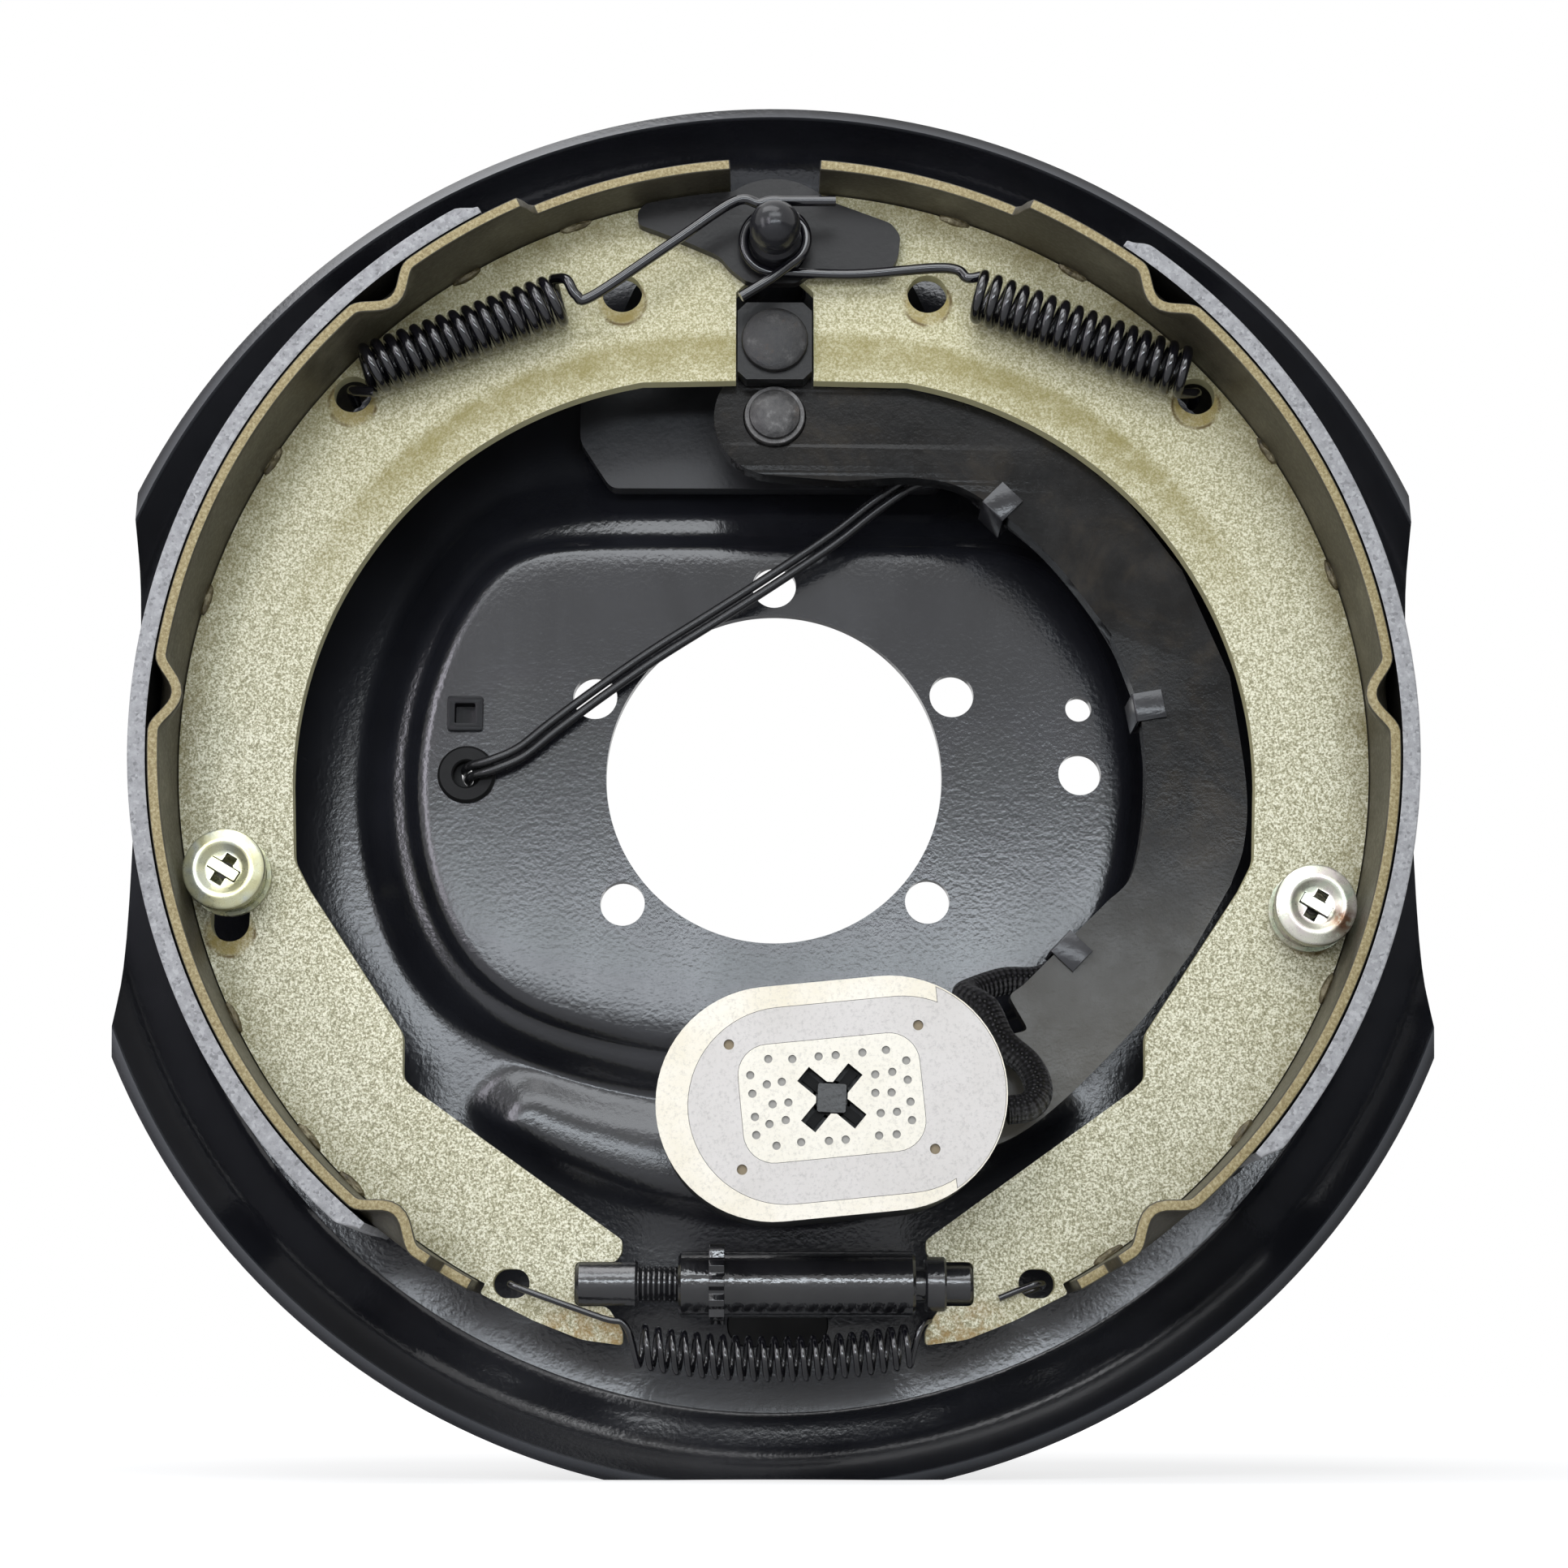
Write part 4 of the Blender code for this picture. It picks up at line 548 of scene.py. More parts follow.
def magnet_look(name, base, dark, rough, pits=None):
    """Cream faces with a fine grain and faint scuffs, black sides, and painted shade that darkens
    pits and hollows with depth below the face.
    """
    look = Look(name)
    fine = look.noise(1300.0, 3.0, 0.7)
    colour = look.ramp(look.noise(60.0, 5.0, 0.6), (0.3, dark), (0.62, base))
    colour = look.mix(look.level(fine, 0.5, 0.72, 0.0, 0.5), colour, tuple(c * 0.6 for c in base))
    if pits:
        # Painted shade: pits and hollows are painted darker with depth below the face, first in the
        # given colour and then near black.
        height = look.height()
        pit_shade = look.level(height, MAGNET_FRONT - 0.00025, MAGNET_FRONT - 0.0004)
        colour = look.mix(pit_shade, colour, pits)
        recess_shade = look.level(height, MAGNET_FRONT - 0.001, MAGNET_FRONT - 0.0012)
        colour = look.mix(recess_shade, colour, (0.008, 0.008, 0.009))
    colour = look.mix(look.level(look.facing(), 0.8, 0.45), colour, (0.01, 0.0098, 0.01))
    look.coat(colour, look.spread(fine, rough - 0.06, rough + 0.1))
    look.bump(fine, 0.16, 0.0003)
    return look.material


def iridescent(name, first, second, third, rust_at=None, well=None):
    """Zinc plating whose passivation turns from gold to green and pink, with painted shade on its
    slopes and sides and inside its well.
    """
    look = Look(name, Metallic=0.7)
    drift = look.noise(150.0, 2.0, 0.5, distortion=0.8)
    colour = look.ramp(drift, (0.34, first), (0.5, second), (0.64, third))
    # Painted shade: slopes and sides that don't face the drum side or the rear squarely are painted
    # darker.
    colour = look.mix(look.level(look.facing(), 0.99, 0.6), colour, tuple(0.55 * c for c in second))
    if rust_at:
        patchy = look.level(look.noise(420.0, 4.0), 0.35, 0.55)
        rust = look.near([rust_at], 0.0016, 0.0034)
        colour = look.over(colour, (0.21, 0.115, 0.065), rust, patchy)
    if well:
        # Painted shade: inside the well, below its floor, the colour is painted near black.
        recess_shade = look.level(look.height(), well[2] - 0.00005, well[2] - 0.0002)
        recess_shade = look.times(recess_shade, look.level(look.height(), well[2] - 0.005, well[2] - 0.004))
        recess_shade = look.times(recess_shade, look.near([world(*well)], 0.0042, 0.0002))
        colour = look.mix(recess_shade, colour, (0.012, 0.01, 0.006))
    look.coat(colour, look.spread(look.noise(600.0, 3.0), 0.22, 0.38))
    look.bump(look.noise(1100.0, 2.0), 0.1, 0.0003)
    return look.material


def plain(name, base, rough):
    look = Look(name, IOR=1.25)
    lighter = tuple(c * 1.5 + 0.004 for c in base)
    look.coat(look.ramp(look.noise(150.0, 4.0), (0.3, base), (0.8, lighter)), rough)
    look.bump(look.noise(900.0, 3.0), 0.1, 0.0003)
    return look.material


def polar(radius, degrees):
    angle = math.radians(degrees)
    return (radius * math.cos(angle), radius * math.sin(angle))


def arc(centre, radius, start, end, count):
    points = []
    count *= FINE
    for k in range(count + 1):
        x, y = polar(radius, start + (end - start) * k / count)
        points.append((centre[0] + x, centre[1] + y))
    return points


def circle(centre, radius):
    rim = [polar(radius, 360.0 * k / CIRCLE_STEPS) for k in range(CIRCLE_STEPS)]
    return [(centre[0] + x, centre[1] + y) for x, y in rim]


def circle_through(first, middle, last):
    (ax, ay), (bx, by), (cx, cy) = first, middle, last
    d = 2 * (ax * (by - cy) + bx * (cy - ay) + cx * (ay - by))
    a, b, c = ax * ax + ay * ay, bx * bx + by * by, cx * cx + cy * cy
    ux = (a * (by - cy) + b * (cy - ay) + c * (ay - by)) / d
    uy = (a * (cx - bx) + b * (ax - cx) + c * (bx - ax)) / d
    return (ux, uy), math.hypot(ax - ux, ay - uy)


def arc_through(first, middle, last, count):
    centre, radius = circle_through(first, middle, last)
    start = math.degrees(math.atan2(first[1] - centre[1], first[0] - centre[0]))
    turn = math.degrees(math.atan2(last[1] - centre[1], last[0] - centre[0])) - start
    turn = (turn + 180) % 360 - 180
    return arc(centre, radius, start, start + turn, count)


def curved(points, per_span):
    points = [Vector(p) for p in points]
    ends = [2 * points[0] - points[1]] + points + [2 * points[-1] - points[-2]]
    found = []
    for k in range(1, len(ends) - 2):
        p, q, r, s = ends[k - 1 : k + 3]
        for j in range(per_span):
            t = j / per_span
            square, cube = 2 * p - 5 * q + 4 * r - s, 3 * q - p - 3 * r + s
            found.append(0.5 * (2 * q + (r - p) * t + square * t * t + cube * t**3))
    found.append(points[-1])
    return [tuple(p) for p in found]


def placed(loop, tilt, centre):
    """A loop turned by some degrees and moved to its middle."""
    turn = Matrix.Rotation(math.radians(tilt), 2)
    return [tuple(turn @ Vector(p) + Vector(centre)) for p in loop]


def stadium(centre, length, width, tilt, count=8):
    half, radius = (length - width) / 2, width / 2
    loop = arc((half, 0.0), radius, -90, 90, count) + arc((-half, 0.0), radius, 90, 270, count)
    return placed(loop, tilt, centre)


def soft_box(centre, length, width, corner, tilt, count=2):
    x, y = length / 2 - corner, width / 2 - corner
    loop = arc((x, -y), corner, -90, 0, count) + arc((x, y), corner, 0, 90, count)
    loop += arc((-x, y), corner, 90, 180, count) + arc((-x, -y), corner, 180, 270, count)
    return placed(loop, tilt, centre)


def rounded(points, radius, steps, closed=True):
    """Rounds the corners of a loop, each by at most a third of its shorter side."""
    found = []
    count = len(points)
    for k in range(count):
        if not closed and k in (0, count - 1):
            found.append(points[k])
            continue
        p, q, r = Vector(points[k - 1]), Vector(points[k]), Vector(points[(k + 1) % count])
        one, two = p - q, r - q
        if one.length < 1e-7 or two.length < 1e-7 or one.angle(two) > math.radians(168):
            found.append(tuple(q))
            continue
        reach = min(radius, one.length / 3, two.length / 3)
        start, end = q + one.normalized() * reach, q + two.normalized() * reach
        for j in range(steps + 1):
            t = j / steps
            found.append(tuple((1 - t) ** 2 * start + 2 * t * (1 - t) * q + t * t * end))
    return found


def mirrored(points, side):
    return [(side * p[0], *p[1:]) for p in points]


def mesh_object(name, mesh):
    made = bpy.data.objects.new(name, mesh)
    bpy.context.scene.collection.objects.link(made)
    return made


def drawn_curve(name, kind, loops, closed=False):
    """A curve through straight stretches between the points of each loop."""
    drawn = bpy.data.curves.new(name, "CURVE")
    drawn.dimensions = kind
    for loop in loops:
        line = drawn.splines.new("POLY")
        line.points.add(len(loop) - 1)
        for point, place in zip(line.points, loop):
            point.co = (*place, 0.0, 1.0)[:3] + (1.0,)
        line.use_cyclic_u = closed
    return drawn


def baked(thing):
    """Replaces an object by a plain mesh object with its modifiers applied and its place kept."""
    bpy.context.view_layer.update()
    found = thing.evaluated_get(bpy.context.evaluated_depsgraph_get())
    mesh = bpy.data.meshes.new_from_object(found)
    mesh.transform(thing.matrix_world)
    name = thing.name
    bpy.data.objects.remove(thing, do_unlink=True)
    tidy = bmesh.new()
    tidy.from_mesh(mesh)
    bmesh.ops.remove_doubles(tidy, verts=tidy.verts, dist=MERGE)
    bmesh.ops.recalc_face_normals(tidy, faces=tidy.faces)
    tidy.to_mesh(mesh)
    tidy.free()
    made = mesh_object("baked", mesh)
    made.name = name
    return made


def bevelled(thing, width, segments, angle=40.0):
    """Rounds the sharp edges of a baked mesh."""
    step = thing.modifiers.new("bevel", "BEVEL")
    step.width = width
    step.segments = segments
    step.limit_method = "ANGLE"
    step.angle_limit = math.radians(angle)
    step.use_clamp_overlap = True
    step.miter_outer = "MITER_ARC"
    return baked(thing)


def show(thing, body, material, node=None, angle=32.0):
    """Brings a finished piece into world coordinates, with its body, material and CAD node."""
    thing = baked(thing) if thing.type != "MESH" or thing.modifiers else thing
    thing.data.transform(thing.matrix_world)
    thing.matrix_world = Matrix.Identity(4)
    thing.data.transform(TURN)
    thing.data.materials.clear()
    thing.data.materials.append(material)
    for face in thing.data.polygons:
        face.use_smooth = True
    thing.data.set_sharp_from_angle(angle=math.radians(angle))
    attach(thing, body)
    if node:
        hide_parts(node)
    return thing


def flat(name, loops, low, high):
    """A flat piece with straight sides between two heights; further loops are holes."""
    drawn = drawn_curve(name, "2D", loops, True)
    drawn.fill_mode = "BOTH"
    drawn.extrude = (high - low) / 2
    held = mesh_object(name, drawn)
    held.location = (0.0, 0.0, (low + high) / 2)
    return baked(held)


def turned(name, profile, at, steps, closed=False, lying=False):
    """A profile of (radius, height) turned about an axis that stands, or lies along X."""
    mesh = bpy.data.meshes.new(name)
    edges = [(k, k + 1) for k in range(len(profile) - 1)] + [(len(profile) - 1, 0)] * closed
    mesh.from_pydata([(r, 0.0, h) for r, h in profile], edges, [])
    made = mesh_object(name, mesh)
    made.location = at
    made.rotation_euler = (0.0, math.radians(90) * lying, 0.0)
    spin = made.modifiers.new("turn", "SCREW")
    spin.steps = spin.render_steps = steps
    spin.use_merge_vertices = True
    spin.merge_threshold = MERGE
    return baked(made)


def rod(name, radius, low, high, at, steps):
    return turned(name, [(0.0, high), (radius, high), (radius, low), (0.0, low)], at, steps)


def round_curve(name, points, radius, resolution=4):
    drawn = drawn_curve(name, "3D", [points])
    drawn.bevel_depth = radius
    drawn.bevel_resolution = resolution
    drawn.use_fill_caps = True
    return drawn


def wire(name, points, radius, resolution=4):
    """A round wire along points in space."""
    return baked(mesh_object(name, round_curve(name, points, radius, resolution)))


def coil(start, end, radius, turns, from_angle=0.0, sag=0.0, per_turn=26):
    start, end = Vector(start), Vector(end)
    along = (end - start).normalized()
    front = Vector((0.0, 0.0, 1.0))
    if abs(along.dot(front)) > 0.9:
        front = Vector((0.0, 1.0, 0.0))
    across = front.cross(along).normalized()
    count = round(turns * per_turn)
    points = []
    for k in range(count + 1):
        t = k / count
        angle = math.radians(from_angle) + 2 * math.pi * turns * t
        centre = start.lerp(end, t) - Vector((0.0, 4 * sag * t * (1 - t), 0.0))
        points.append(tuple(centre + radius * (math.cos(angle) * across + math.sin(angle) * front)))
    return points


def skinned(name, rows, ring=True, closed=False, capped=False):
    """Faces between rows of points, all round each row if it is a ring."""
    mesh = bpy.data.meshes.new(name)
    shape = bmesh.new()
    grid = [[shape.verts.new(p) for p in row] for row in rows]
    for one, two in zip(grid, grid[1:] + grid[:1] * closed):
        for k in range(0 if ring else 1, len(one)):
            shape.faces.new((one[k - 1], one[k], two[k], two[k - 1]))
    if capped:
        shape.faces.new(grid[0])
        shape.faces.new(grid[-1][::-1])
    if ring:
        bmesh.ops.recalc_face_normals(shape, faces=shape.faces)
    shape.to_mesh(mesh)
    shape.free()
    return mesh_object(name, mesh)


def surface(name, rows, thickness, offset):
    made = skinned(name, rows, ring=False)
    solid = made.modifiers.new("solid", "SOLIDIFY")
    solid.thickness = thickness
    solid.offset = offset
    solid.use_even_offset = True
    return baked(made)


def boolean(thing, other, operation):
    step = thing.modifiers.new("boolean", "BOOLEAN")
    step.operation = operation
    step.solver = "EXACT"
    step.object = other
    result = baked(thing)
    bpy.data.objects.remove(other, do_unlink=True)
    return result


def cut(thing, other):
    return boolean(thing, other, "DIFFERENCE")


def merged(thing, other):
    return boolean(thing, other, "UNION")


def joined(name, things):
    """One object from several that don't touch."""
    whole = bmesh.new()
    for thing in things:
        mesh = thing.data
        mesh.transform(thing.matrix_world)
        whole.from_mesh(mesh)
        bpy.data.objects.remove(thing, do_unlink=True)
    mesh = bpy.data.meshes.new(name)
    whole.to_mesh(mesh)
    whole.free()
    return mesh_object(name, mesh)


def smallest(values, sharpness=16.0):
    return sum(v**-sharpness for v in values) ** (-1 / sharpness)


def mound_radius(degrees, grown=0.0):
    c, s = math.cos(math.radians(degrees)), math.sin(math.radians(degrees))
    limits = [MOUND_RADIUS + grown]
    if s > 0.05:
        limits.append((MOUND_TOP + grown * 1.3) / s)
    if s < -0.05:
        foot = MOUND_FOOT + grown * 0.9
        limits.append(2 * foot / (-s + math.sqrt(s * s + 4 * FOOT_BOW * foot * c * c)))
    return smallest(limits)


def plate_profile(degrees):
    mound, foot = mound_radius(degrees), mound_radius(degrees, MOUND_SLOPE)
    off_bottom = abs((degrees - 270 + 180) % 360 - 180)
    bead = BEAD_RISE * max(0.0, min(1.0, (BEAD_HALF_ANGLE - off_bottom) / 6))
    wide = CHANNEL_RADIUS - foot
    return [
        (HUB_RADIUS, PLATE_THICK),
        (mound - MOUND_EDGE, PLATE_THICK),
        (mound + 0.0006, PLATE_THICK - 0.0014),
        (mound + 0.14 * (foot - mound), PLATE_THICK - 0.0024),
        (mound + 0.42 * (foot - mound), PLATE_THICK - 0.0031),
        (mound + 0.66 * (foot - mound), PLATE_THICK - 0.005),
        (foot - MOUND_EDGE, FLOOR_FRONT + 0.0006),
        (foot, FLOOR_FRONT),
        (foot + 0.3 * wide, FLOOR_FRONT + bead),
        (foot + 0.62 * wide, FLOOR_FRONT + bead),
        (foot + 0.8 * wide, FLOOR_FRONT),
        (STEP_RADIUS, FLOOR_FRONT),
        (STEP_RADIUS + STEP_RISE, FLOOR_FRONT + STEP_RISE),
        (FLARE_RADIUS, FLOOR_FRONT + FLARE_RISE),
        (PLATE_RADIUS - PLATE_THICK, RIM_FRONT),
    ]


def softened(profile, rounds=2):
    """Cuts the corners of an open profile, with its ends kept."""
    for _ in range(rounds):
        cut = [profile[0]]
        for one, two in zip(profile, profile[1:]):
            a, b = Vector(one), Vector(two)
            cut += [tuple(a.lerp(b, 0.22)), tuple(a.lerp(b, 0.78))]
        profile = cut + [profile[-1]]
    return profile


def thickened(profile, thickness):
    back = []
    for k, (x, y) in enumerate(profile):
        before = Vector(profile[k]) - Vector(profile[k - 1]) if k else None
        after = Vector(profile[k + 1]) - Vector(profile[k]) if k + 1 < len(profile) else None
        one = (before or after).normalized()
        two = (after or before).normalized()
        middle = (one + two).normalized()
        reach = thickness / middle.dot(one)
        back.append((x + middle.y * reach, y - middle.x * reach))
    return profile + back[::-1]


def cutter(at, radius, steps=40):
    return rod("cutter", radius, -CUT_REACH, CUT_REACH, (*at, 0.0), steps)


def through(loop):
    """A cutter with straight sides that reaches through the plate."""
    return flat("cutter", [loop], -CUT_REACH, CUT_REACH)


def build_plate():
    rows = []
    for k in range(PLATE_STEPS):
        degrees = 360.0 * k / PLATE_STEPS + PLATE_TURN
        section = thickened(softened(plate_profile(degrees)), PLATE_THICK)
        rows.append([(*polar(r, degrees), h) for r, h in section])
    plate = skinned("plate", rows, closed=True)
    cutters = []
    for side in (-1, 1):
        edge = mirrored([(FLAT_SIDE, -0.1), (0.2, -0.1), (0.2, 0.1), (FLAT_SIDE, 0.1)], side)
        cutters.append(through(edge))
    cutters.append(through([(-0.1, -0.2), (0.1, -0.2), (0.1, -FLAT_FOOT), (-0.1, -FLAT_FOOT)]))
    cutters += [cutter(polar(BOLT_CIRCLE, degrees), BOLT_HOLE) for degrees in BOLT_ANGLES]
    others = (SPARE_HOLE_AT, SPARE_HOLE), (SMALL_HOLE_AT, SMALL_HOLE), (GROMMET_AT, GROMMET_HOLE)
    cutters += [cutter(at, radius) for at, radius in others]
    cutters.append(through(soft_box(PLUG_AT, 2 * PLUG_HALF, 2 * PLUG_HALF, 0.0006, 0)))
    cutters.append(through(stadium(SLOT_PLUG_AT, SLOT_PLUG_LONG, SLOT_PLUG_WIDE, 0, 5)))
    plate = cut(plate, joined("cutters", cutters))
    rests = []
    for side in (-1, 1):
        for degrees in REST_ANGLES:
            x, y = polar(TABLE_RADIUS - REST_RADIUS / 2, degrees)
            low, high = FLOOR_FRONT - 0.001, SHOE_REAR - GAP
            shape = [
                (0.0, high), (REST_RADIUS - 0.0006, high), (REST_RADIUS, high - 0.0006),
                (REST_RADIUS * 1.4, low), (0.0, low),
            ]
            rests.append(turned("rest", shape, (side * x, y, 0.0), 32))
    plate = merged(plate, joined("rests", rests))
    plate = bevelled(plate, 0.0003, 1, STEEP)
    look = Look("plate_coat", IOR=1.58)
    mottle = look.noise(24.0, 6.0, 0.62)
    streak = look.noise(14.0, 5.0, 0.6, (1.0, 1.0, 0.35), 0.6)
    colour = look.ramp(mottle, (0.32, (0.0065, 0.0068, 0.0088)), (0.72, (0.016, 0.0168, 0.021)))
    scuff = look.ramp(look.noise(180.0, 7.0, 0.75), (0.64, 0.0), (0.78, 1.0))
    colour = look.over(colour, (0.07, 0.068, 0.066), scuff, 0.25)
    # Painted sheen and wear: the rim's front edge is painted a lighter bluish grey, partly edge
    # wear and partly the sheen of light on it.
    wear_and_sheen = look.level(look.height(), RIM_FRONT - 0.001, RIM_FRONT + 0.0002, 0.0, 0.6)
    colour = look.mix(wear_and_sheen, colour, (0.115, 0.12, 0.13))
    look.coat(colour, look.level(streak, 0.3, 0.72, 0.13, 0.24))
    look.bump(look.noise(900.0, 2.0, 0.5), 0.11, 0.0005)
    look.bump(look.noise(230.0, 2.0, 0.5), 0.025, 0.0012)
    show(plate, "backing", look.material, "backing_plate", 30.0)


def rivet_profile(radius, front, rear_face):
    back = rear_face - GAP
    return [
        (0.0, front),
        (radius, front),
        (radius, back),
        (radius + RIVET_SPREAD, back),
        (radius + RIVET_SPREAD * 0.5, back - RIVET_THICK),
        (0.0, back - RIVET_THICK),
    ]


def build_anchor():
    half, foot, top = BRACKET_HALF, BRACKET_FOOT, BRACKET_TOP
    right = [
        (half - 0.008, foot), (half, foot + 0.0125), (half, foot + 0.0235),
        (half - 0.014, top - 0.012), (half - 0.026, top),
    ]
    outline = rounded(right + mirrored(right[::-1], -1), 0.0022, 4)
    holes = [circle((0.0, POST_UP), POST_RADIUS + GAP), circle((0.0, PIVOT_UP), PIVOT_PIN + GAP)]
    bracket = flat("bracket", [outline] + holes, BRACKET_REAR, BRACKET_FRONT)
    inner, low, high = half - BRACKET_FLANGE, foot + 0.015, foot + 0.0235
    leg = [(inner, low), (half, low), (half, high), (inner, high)]
    for side in (-1, 1):
        seated = flat("leg", [mirrored(leg, side)], FLOOR_FRONT + GAP, BRACKET_REAR + 0.002)
        bracket = merged(bracket, seated)
    bracket = bevelled(bracket, 0.0005, 2)
    show(
        bracket, "backing", black_coat("bracket_coat", (0.008, 0.0082, 0.0092), 0.4),
        "anchor_bracket", FLAT_CREASE,
    )

    nose = []
    start = GROOVE_FRONT + 0.001
    for k in range(NOSE_STEPS + 1):
        angle = math.radians(90.0 * k / NOSE_STEPS)
        nose.append((POST_NOSE * math.sin(angle), start + 0.0004 + POST_NOSE * math.cos(angle)))
    nose += [
        (POST_NOSE, start), (POST_GROOVE - 0.0009, start - 0.0012),
        (POST_GROOVE - 0.0009, GROOVE_FRONT - 0.004), (POST_GROOVE, GROOVE_FRONT - 0.0052),
        (POST_GROOVE, GROOVE_REAR),
    ]
    shank = rivet_profile(POST_RADIUS, GROOVE_REAR, FLOOR_REAR)[1:]
    post = turned("post", nose + shank, (0.0, POST_UP, 0.0), 72)
    show(
        bevelled(post, 0.00025, 2, STEEP), "backing",
        black_coat("post_coat", (0.01, 0.01, 0.012), 0.3, 0.8, 0.1), "anchor_post",
    )

    left = arc((0.0, 0.0), WEB_RADIUS - 0.0006, 94.6, 103.1, 3)
    left += millimetres(
        (-34.5, 138), (-34.3, 134.5), (-22.5, 130), (-14, 126.2), (-11, 122.5), (-6.5, 119)
    )
    right = millimetres(
        (5.5, 119), (8.8, 121.7), (28.5, 121.7), (31, 126.2), (31.5, 131.8), (29.2, 135),
        (13.8, 140.9),
    )
    hump = arc((0.0, POST_UP), 0.018, 42, 126, 8)
    outline = rounded(left + right + hump, 0.003, 4)
    guide = flat(
        "guide", [outline, circle((0.0, POST_UP), POST_RADIUS + GAP)], GUIDE_REAR, GUIDE_FRONT
    )
    guide = bevelled(guide, 0.0004, 2)
    show(
        guide, "backing", black_coat("guide_coat", (0.007, 0.0066, 0.0066), 0.42, 1.0, 0.1, 1.33),
        "guide_plate", FLAT_CREASE,
    )

    top = LEVER_FRONT + GAP + BUSHING_WALL + GAP
    pin, neck, collar, seat = PIVOT_PIN, LEVER_REAR - GAP, PIVOT_PIN + 0.003, BRACKET_FRONT + GAP
    shape = [
        (0.0, top + 0.0016), (pin * 0.55, top + 0.0017), (pin * 0.8, top + 0.0014),
        (pin + 0.0002, top + 0.0008), (pin + 0.0004, top + 0.0003), (pin + 0.0004, top), (pin, top),
        (pin, neck), (collar, neck), (collar, seat), (pin, seat),
    ]
    shank = rivet_profile(PIVOT_PIN, BRACKET_FRONT, FLOOR_REAR)[2:]
    pin = turned("pivot", shape + shank, (0.0, PIVOT_UP, 0.0), 64)
    show(pin, "backing", worn_steel("pivot_steel", (0.028, 0.027, 0.027), 0.75), "pivot_pin")


def worn_steel(name, base, rubbed=1.0):
    """Dark hammered steel with pale rubbed spots and a trace of rust."""
    look = Look(name, Metallic=0.55)
    spots = look.noise(330.0, 6.0, 0.75)
    middle, pale = (
        tuple(c * rubbed for c in tone) for tone in ((0.085, 0.082, 0.08), (0.23, 0.225, 0.22))
    )
    colour = look.ramp(spots, (0.36, base), (0.56, middle), (0.74, pale))
    rust = look.ramp(look.noise(120.0, 5.0, 0.7), (0.58, 0.0), (0.72, 1.0))
    colour = look.over(colour, (0.1, 0.055, 0.025), rust, 0.35)
    look.coat(colour, look.spread(spots, 0.34, 0.52))
    look.bump(look.noise(520.0, 5.0, 0.7), 0.35, 0.0005)
    return look.material


def shoe_angles(start, end, step):
    """Fine angles along a shoe, with the steps in its table's edges among them."""
    angles = [TABLE_STEP_FOOT - 0.1, TABLE_STEP_FOOT, TABLE_STEP_TOP, TABLE_STEP_TOP + 0.1]
    count = round((end - start) / step)
    angles += [start + (end - start) * k / count for k in range(1, count)]
    return [start] + sorted(a for a in angles if start + 0.02 < a < end - 0.02) + [end]


def eased(t):
    t = max(0.0, min(1.0, t))
    return t * t * (3 - 2 * t)


def build_table(side, body, name):
    rows = []
    for degrees in shoe_angles(TABLE_FOOT, TABLE_TOP, 0.5):
        narrow = max(
            eased((TABLE_STEP_FOOT - degrees) / 0.9), eased((degrees - TABLE_STEP_TOP) / 1.6)
        )
        narrow *= TABLE_STEP_DEPTH
        low, high = SHOE_REAR + narrow, SHOE_FRONT - narrow
        row = []
        for h in [low + (high - low) * k / TABLE_ROWS for k in range(TABLE_ROWS + 1)]:
            edge = min(h - low, high - h)
            fade = 1 - eased(edge / DENT_REACH)
            dent = 0.0
            for middle in DENT_ANGLES:
                away = abs(degrees - middle) / DENT_HALF_ANGLE
                dent += DENT_DEPTH * (0.5 + 0.5 * math.cos(math.pi * min(away, 1.0)))
            x, y = polar(TABLE_RADIUS - dent * fade, degrees)
            row.append((side * x, y, h))
        rows.append(row)
    table = surface("table", rows, TABLE_THICK, side)
    table = bevelled(table, 0.0009, 4, 35.0)
    show(table, body, table_steel(name + "_steel"), name, 40.0)


def build_lining(side, span, body, name):
    rows = []
    inner = TABLE_RADIUS + GAP
    count = round((span[1] - span[0]) / 0.5)
    for k in range(count + 1):
        degrees = span[0] + (span[1] - span[0]) * k / count
        near_end = min(degrees - span[0], span[1] - degrees)
        outer = inner + LINING_THICK * (0.45 + 0.55 * eased(near_end / 2.2))
        section = [(inner, SHOE_REAR), (outer, SHOE_REAR), (outer, SHOE_FRONT), (inner, SHOE_FRONT)]
        rows.append(mirrored([(*polar(r, degrees), h) for r, h in section], side))
    lining = bevelled(skinned("lining", rows, capped=True), 0.0004, 2, STEEP)
    show(lining, body, lining_look(name + "_look"), name, 20.0)


